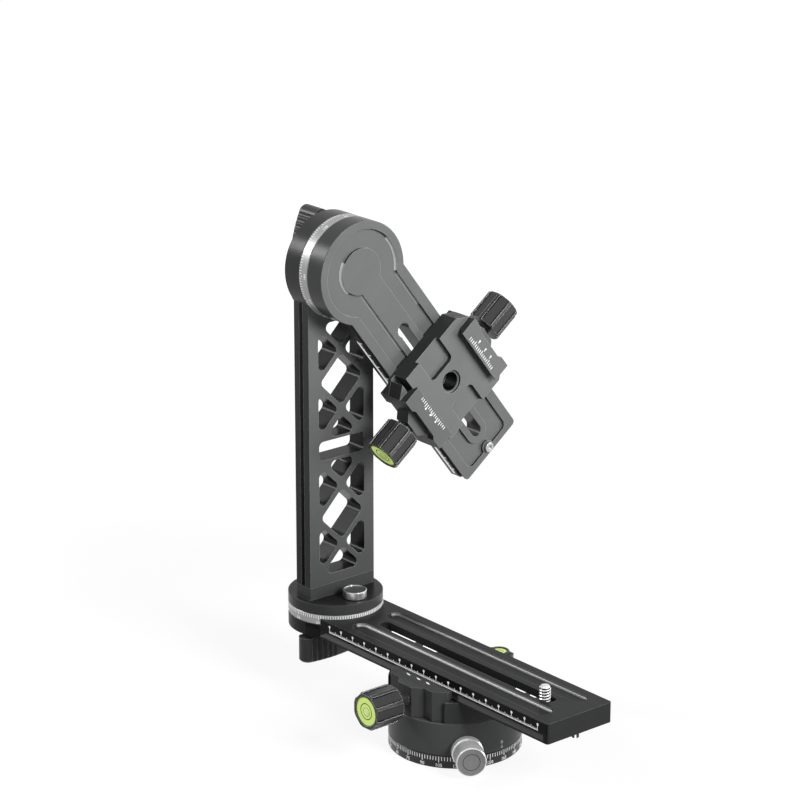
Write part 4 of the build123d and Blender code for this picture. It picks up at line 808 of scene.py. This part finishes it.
# the stud in the rail's slot: its head, its neck, its thread and its rounded end; the neck and the hollows of
# the thread are near black, painted shade
STUD_THREAD = (1.6, 0.38)
STUD_HEAD = 6.0
STUD_NECK = 2.45
stud_profile = plain((ON_AXIS, -10.4), (STUD_HEAD, -10.4), (STUD_HEAD, -7.0), (STUD_HEAD - 0.2, -6.9))
stud_profile += plain((STUD_NECK, -6.9), (STUD_NECK, -1.6))
stud_profile += thread_rows(2.78, -1.5, 6.0, STUD_THREAD[0])
stud_profile += plain((2.55, 6.3), (2.3, 6.75), (1.6, 6.95), (ON_AXIS, 6.98))
turned("threaded_stud", STUD, stud_profile, "thread", "stud", "slot_stud", thread=STUD_THREAD,
       root="thread_root_shade", root_span=(-6.5, 6.0, 0.0, 2.72))

# the bushes of the camera clamp, whose bore is painted near black as shade, and of the tripod's side; their
# bores are plain
camera_profile = plain((5.98, -9.0), (5.98, -0.25), (5.75, -0.02), (5.35, -0.02), (5.3, -9.0))
turned("camera_thread", CAMERA_BUSH, camera_profile, "bush_thread", "clamp", "camera_thread_bush",
       root="bush_root_shade", root_span=(-8.7, -0.6, 5.02, 5.6))
tripod_profile = plain((6.98, -11.98), (6.98, -0.02), (5.4, -0.02), (5.3, -11.98))
turned("tripod_thread_piece", TRIPOD, tripod_profile, "brass", "base", "tripod_bush")


# ------------------------------------------------------------------ spirit levels
LOOP_FOOT = -0.08
DOME_FOOT = -0.06


def loop(name, place, radius, half_width, proud, finish, body, x=0.0, y=0.0, sides=48):
    """A fine raised ring on a face."""
    verts = []
    faces = []
    top = 0.7 * half_width
    section = ((-half_width, LOOP_FOOT), (-top, proud), (top, proud), (half_width, LOOP_FOOT))
    for n in range(sides):
        angle = 2 * pi * n / sides
        for out, height in section:
            reach = radius + out
            verts.append(place.at(x + reach * cos(angle), y + reach * sin(angle), height))
        faces += band(4 * n, 4 * ((n + 1) % sides), 4)
    piece(name, verts, faces, finish, body, smooth=True)


def dome(name, place, radius, height, finish, body, x, y, sides=40, rings=8):
    """A low lens-shaped cap on a face."""
    verts = [place.at(x, y, height)]
    faces = []
    for ring in range(1, rings + 1):
        share = ring / rings
        rise = height * (1 - share ** 2) + (DOME_FOOT if ring == rings else 0)
        for n in range(sides):
            angle = 2 * pi * n / sides
            verts.append(place.at(x + radius * share * cos(angle), y + radius * share * sin(angle), rise))
    for n in range(sides):
        faces.append((0, 1 + n, 1 + (n + 1) % sides))
    for ring in range(rings - 1):
        inner = 1 + ring * sides
        outer = inner + sides
        for n in range(sides):
            m = (n + 1) % sides
            faces.append((inner + n, outer + n, outer + m, inner + m))
    rim = 1 + (rings - 1) * sides
    faces.append(tuple(range(rim, rim + sides)))
    piece(name, verts, faces, finish, body, smooth=True)


LEVEL_RING = 4.4
LEVEL_RIM = 7.85
BUBBLE = 2.4
BUBBLE_EDGE = 2.45
for name, place, body, scale, x, y in (
    ("lower", LOWER_VIAL, "lower_knob", 1.0, 0.3, -0.2),
    ("camera", CAMERA_VIAL, "camera_knob", 1.0, 0.5, 0.2),
    ("rear", REAR_VIAL, "rotor", 0.53, 0.2, 0.1),
):
    loop(name + "_level_ring", place, LEVEL_RING * scale, 0.34 * scale, 0.05, "olive", body)
    loop(name + "_level_rim", place, LEVEL_RIM * scale, 0.2, 0.04, "olive", body)
    dome(name + "_level_bubble", place, BUBBLE * scale, 0.3 * scale, "bubble", body, x, y)
    loop(name + "_bubble_edge", place, BUBBLE_EDGE * scale, 0.13, 0.06, "olive", body, x, y)


# ------------------------------------------------------------------ knobs, lock and button
# near-black strips beside the ribs of the clamp knobs, painted shade where the knobs are fluted
KNOB_SIDES = 8
KNOB_FLAT = 9.4
GROOVE_SPAN = (-17.7, -0.9)
GROOVE_OFFSET = 2.9
GROOVE_HALF = 0.45
for name, place, body in (
    ("lower_knob_flute_shade", LOWER_KNOB, "lower_knob"),
    ("camera_knob_flute_shade", CAMERA_KNOB, "camera_knob"),
    ("arm_knob_flute_shade", ARM_KNOB, "arm_knob"),
):
    flute_shade = Marks()
    for n in range(KNOB_SIDES):
        turn = 2 * pi * n / KNOB_SIDES
        out = place.x * cos(turn) + place.y * sin(turn)
        flat = Place(place.origin + out * KNOB_FLAT, place.z, out)
        for y in (-GROOVE_OFFSET, GROOVE_OFFSET):
            flute_shade.strip(flat, *GROOVE_SPAN, y - GROOVE_HALF, y + GROOVE_HALF)
    flute_shade.finish(name, "groove_shade", body)

# the turned face of the lock knob and the dished top of the release button, as thin discs darker than the
# metal around them
for name, place, radius, finish, body in (
    ("lock_face_plate", LOCK_FACE, 7.6, "lock_plate", "lock"),
    ("button_dish_plate", BUTTON_DISH, 5.8, "dish", "button"),
):
    plate = Marks()
    plate.spot(place, 0, 0, radius, sides=48, proud=0.02)
    plate.finish(name, finish, body)
loop("lock_face_line", LOCK_FACE, 4.6, 0.22, 0.03, "ink", "lock")


# ------------------------------------------------------------------ floor and world
def seen(tree):
    """1 for what the camera, a reflection or a clear part sees directly."""
    path = node(tree, "ShaderNodeLightPath")
    direct = number(tree, "MAXIMUM", path.outputs["Is Camera Ray"], path.outputs["Is Glossy Ray"])
    return number(tree, "MAXIMUM", direct, path.outputs["Is Transmission Ray"])


def background(tree, strength):
    made = node(tree, "ShaderNodeBackground")
    made.inputs["Color"].default_value = grey(1.0)
    made.inputs["Strength"].default_value = strength
    return made.outputs["Background"]


FLOOR_HALF = 12.0
FLOOR_Z = -0.0002
FLOOR_FADE = (0.3, 0.8)
FLOOR_GLOW = (0.86, 1.0)
corners = ((-1, -1), (1, -1), (1, 1), (-1, 1))
floor_mesh = bpy.data.meshes.new("floor")
floor_mesh.from_pydata([(FLOOR_HALF * i, FLOOR_HALF * j, FLOOR_Z) for i, j in corners], [], [(0, 1, 2, 3)])
floor = bpy.data.objects.new("floor", floor_mesh)
bpy.context.scene.collection.objects.link(floor)
pale = bpy.data.materials.new("pale_floor")
pale.use_nodes = True
pale_tree = pale.node_tree
pale_shader = pale_tree.nodes["Principled BSDF"]
pale_shader.inputs["Base Color"].default_value = grey(0.2)
pale_shader.inputs["Roughness"].default_value = 0.9
pale_shader.inputs["Specular IOR Level"].default_value = 0.0
pale_shader.inputs["Emission Color"].default_value = grey(1.0)
spot = node(pale_tree, "ShaderNodeTexCoord")
far = node(pale_tree, "ShaderNodeVectorMath", operation="LENGTH")
pale_tree.links.new(spot.outputs["Object"], far.inputs[0])
fade = mapped(pale_tree, far.outputs["Value"], FLOOR_FADE, FLOOR_GLOW)
glow = number(pale_tree, "MULTIPLY", seen(pale_tree), fade)
pale_tree.links.new(glow, pale_shader.inputs["Emission Strength"])
floor_mesh.materials.append(pale)

WORLD_LIGHT = 0.05
world = bpy.data.worlds.new("studio")
world.use_nodes = True
bpy.context.scene.world = world
sky = world.node_tree
sky.nodes.clear()
pick = node(sky, "ShaderNodeMixShader")
out = node(sky, "ShaderNodeOutputWorld")
sky.links.new(seen(sky), pick.inputs["Fac"])
sky.links.new(background(sky, WORLD_LIGHT), pick.inputs[1])
sky.links.new(background(sky, 1.0), pick.inputs[2])
sky.links.new(pick.outputs["Shader"], out.inputs["Surface"])


# ------------------------------------------------------------------ lamps and camera
LAMP_CENTRE = Vector((-0.02, 0.02, 0.12))


def lamp(name, direction, distance, size, level):
    """A square soft light that lights a face turned to it at a level, where 1 shows colours as written."""
    light = bpy.data.lights.new(name, "AREA")
    light.shape = "SQUARE"
    light.size = size
    light.energy = level * pi ** 2 * distance ** 2
    holder = bpy.data.objects.new(name, light)
    bpy.context.scene.collection.objects.link(holder)
    toward = Vector(direction).normalized()
    holder.location = LAMP_CENTRE + toward * distance
    holder.rotation_euler = toward.to_track_quat("Z", "Y").to_euler()


lamp("key", (0.87, 0.02, 0.50), distance=1.6, size=0.6, level=0.84)
lamp("low", (0.72, 0.68, 0.12), distance=1.6, size=0.6, level=0.38)
lamp("kick", (-0.73, -0.50, 0.46), distance=1.5, size=0.35, level=0.45)
lamp("side", (0.1, 0.95, 0.35), distance=1.5, size=0.8, level=0.06)
lamp("front", (0.30, -0.90, 0.45), distance=1.8, size=0.8, level=0.07)

CAMERA_PLACE = (1.186695, -1.038036, 0.719474)
CAMERA_RIGHT = (0.64400, 0.76503, 0.0)
CAMERA_UP = (-0.24159, 0.20337, 0.94883)
CAMERA_BACK = (0.72588, -0.61104, 0.31579)
camera_data = bpy.data.cameras.new("camera")
camera_data.lens = 142.81
camera_data.sensor_width = 36.0
camera_data.clip_start = 0.05
camera_data.clip_end = 60.0
camera = bpy.data.objects.new("camera", camera_data)
bpy.context.scene.collection.objects.link(camera)
axes = Matrix((CAMERA_RIGHT, CAMERA_UP, CAMERA_BACK)).transposed().to_4x4()
camera.matrix_world = Matrix.Translation(CAMERA_PLACE) @ axes
bpy.context.scene.camera = camera
bpy.context.scene.view_settings.view_transform = "Standard"
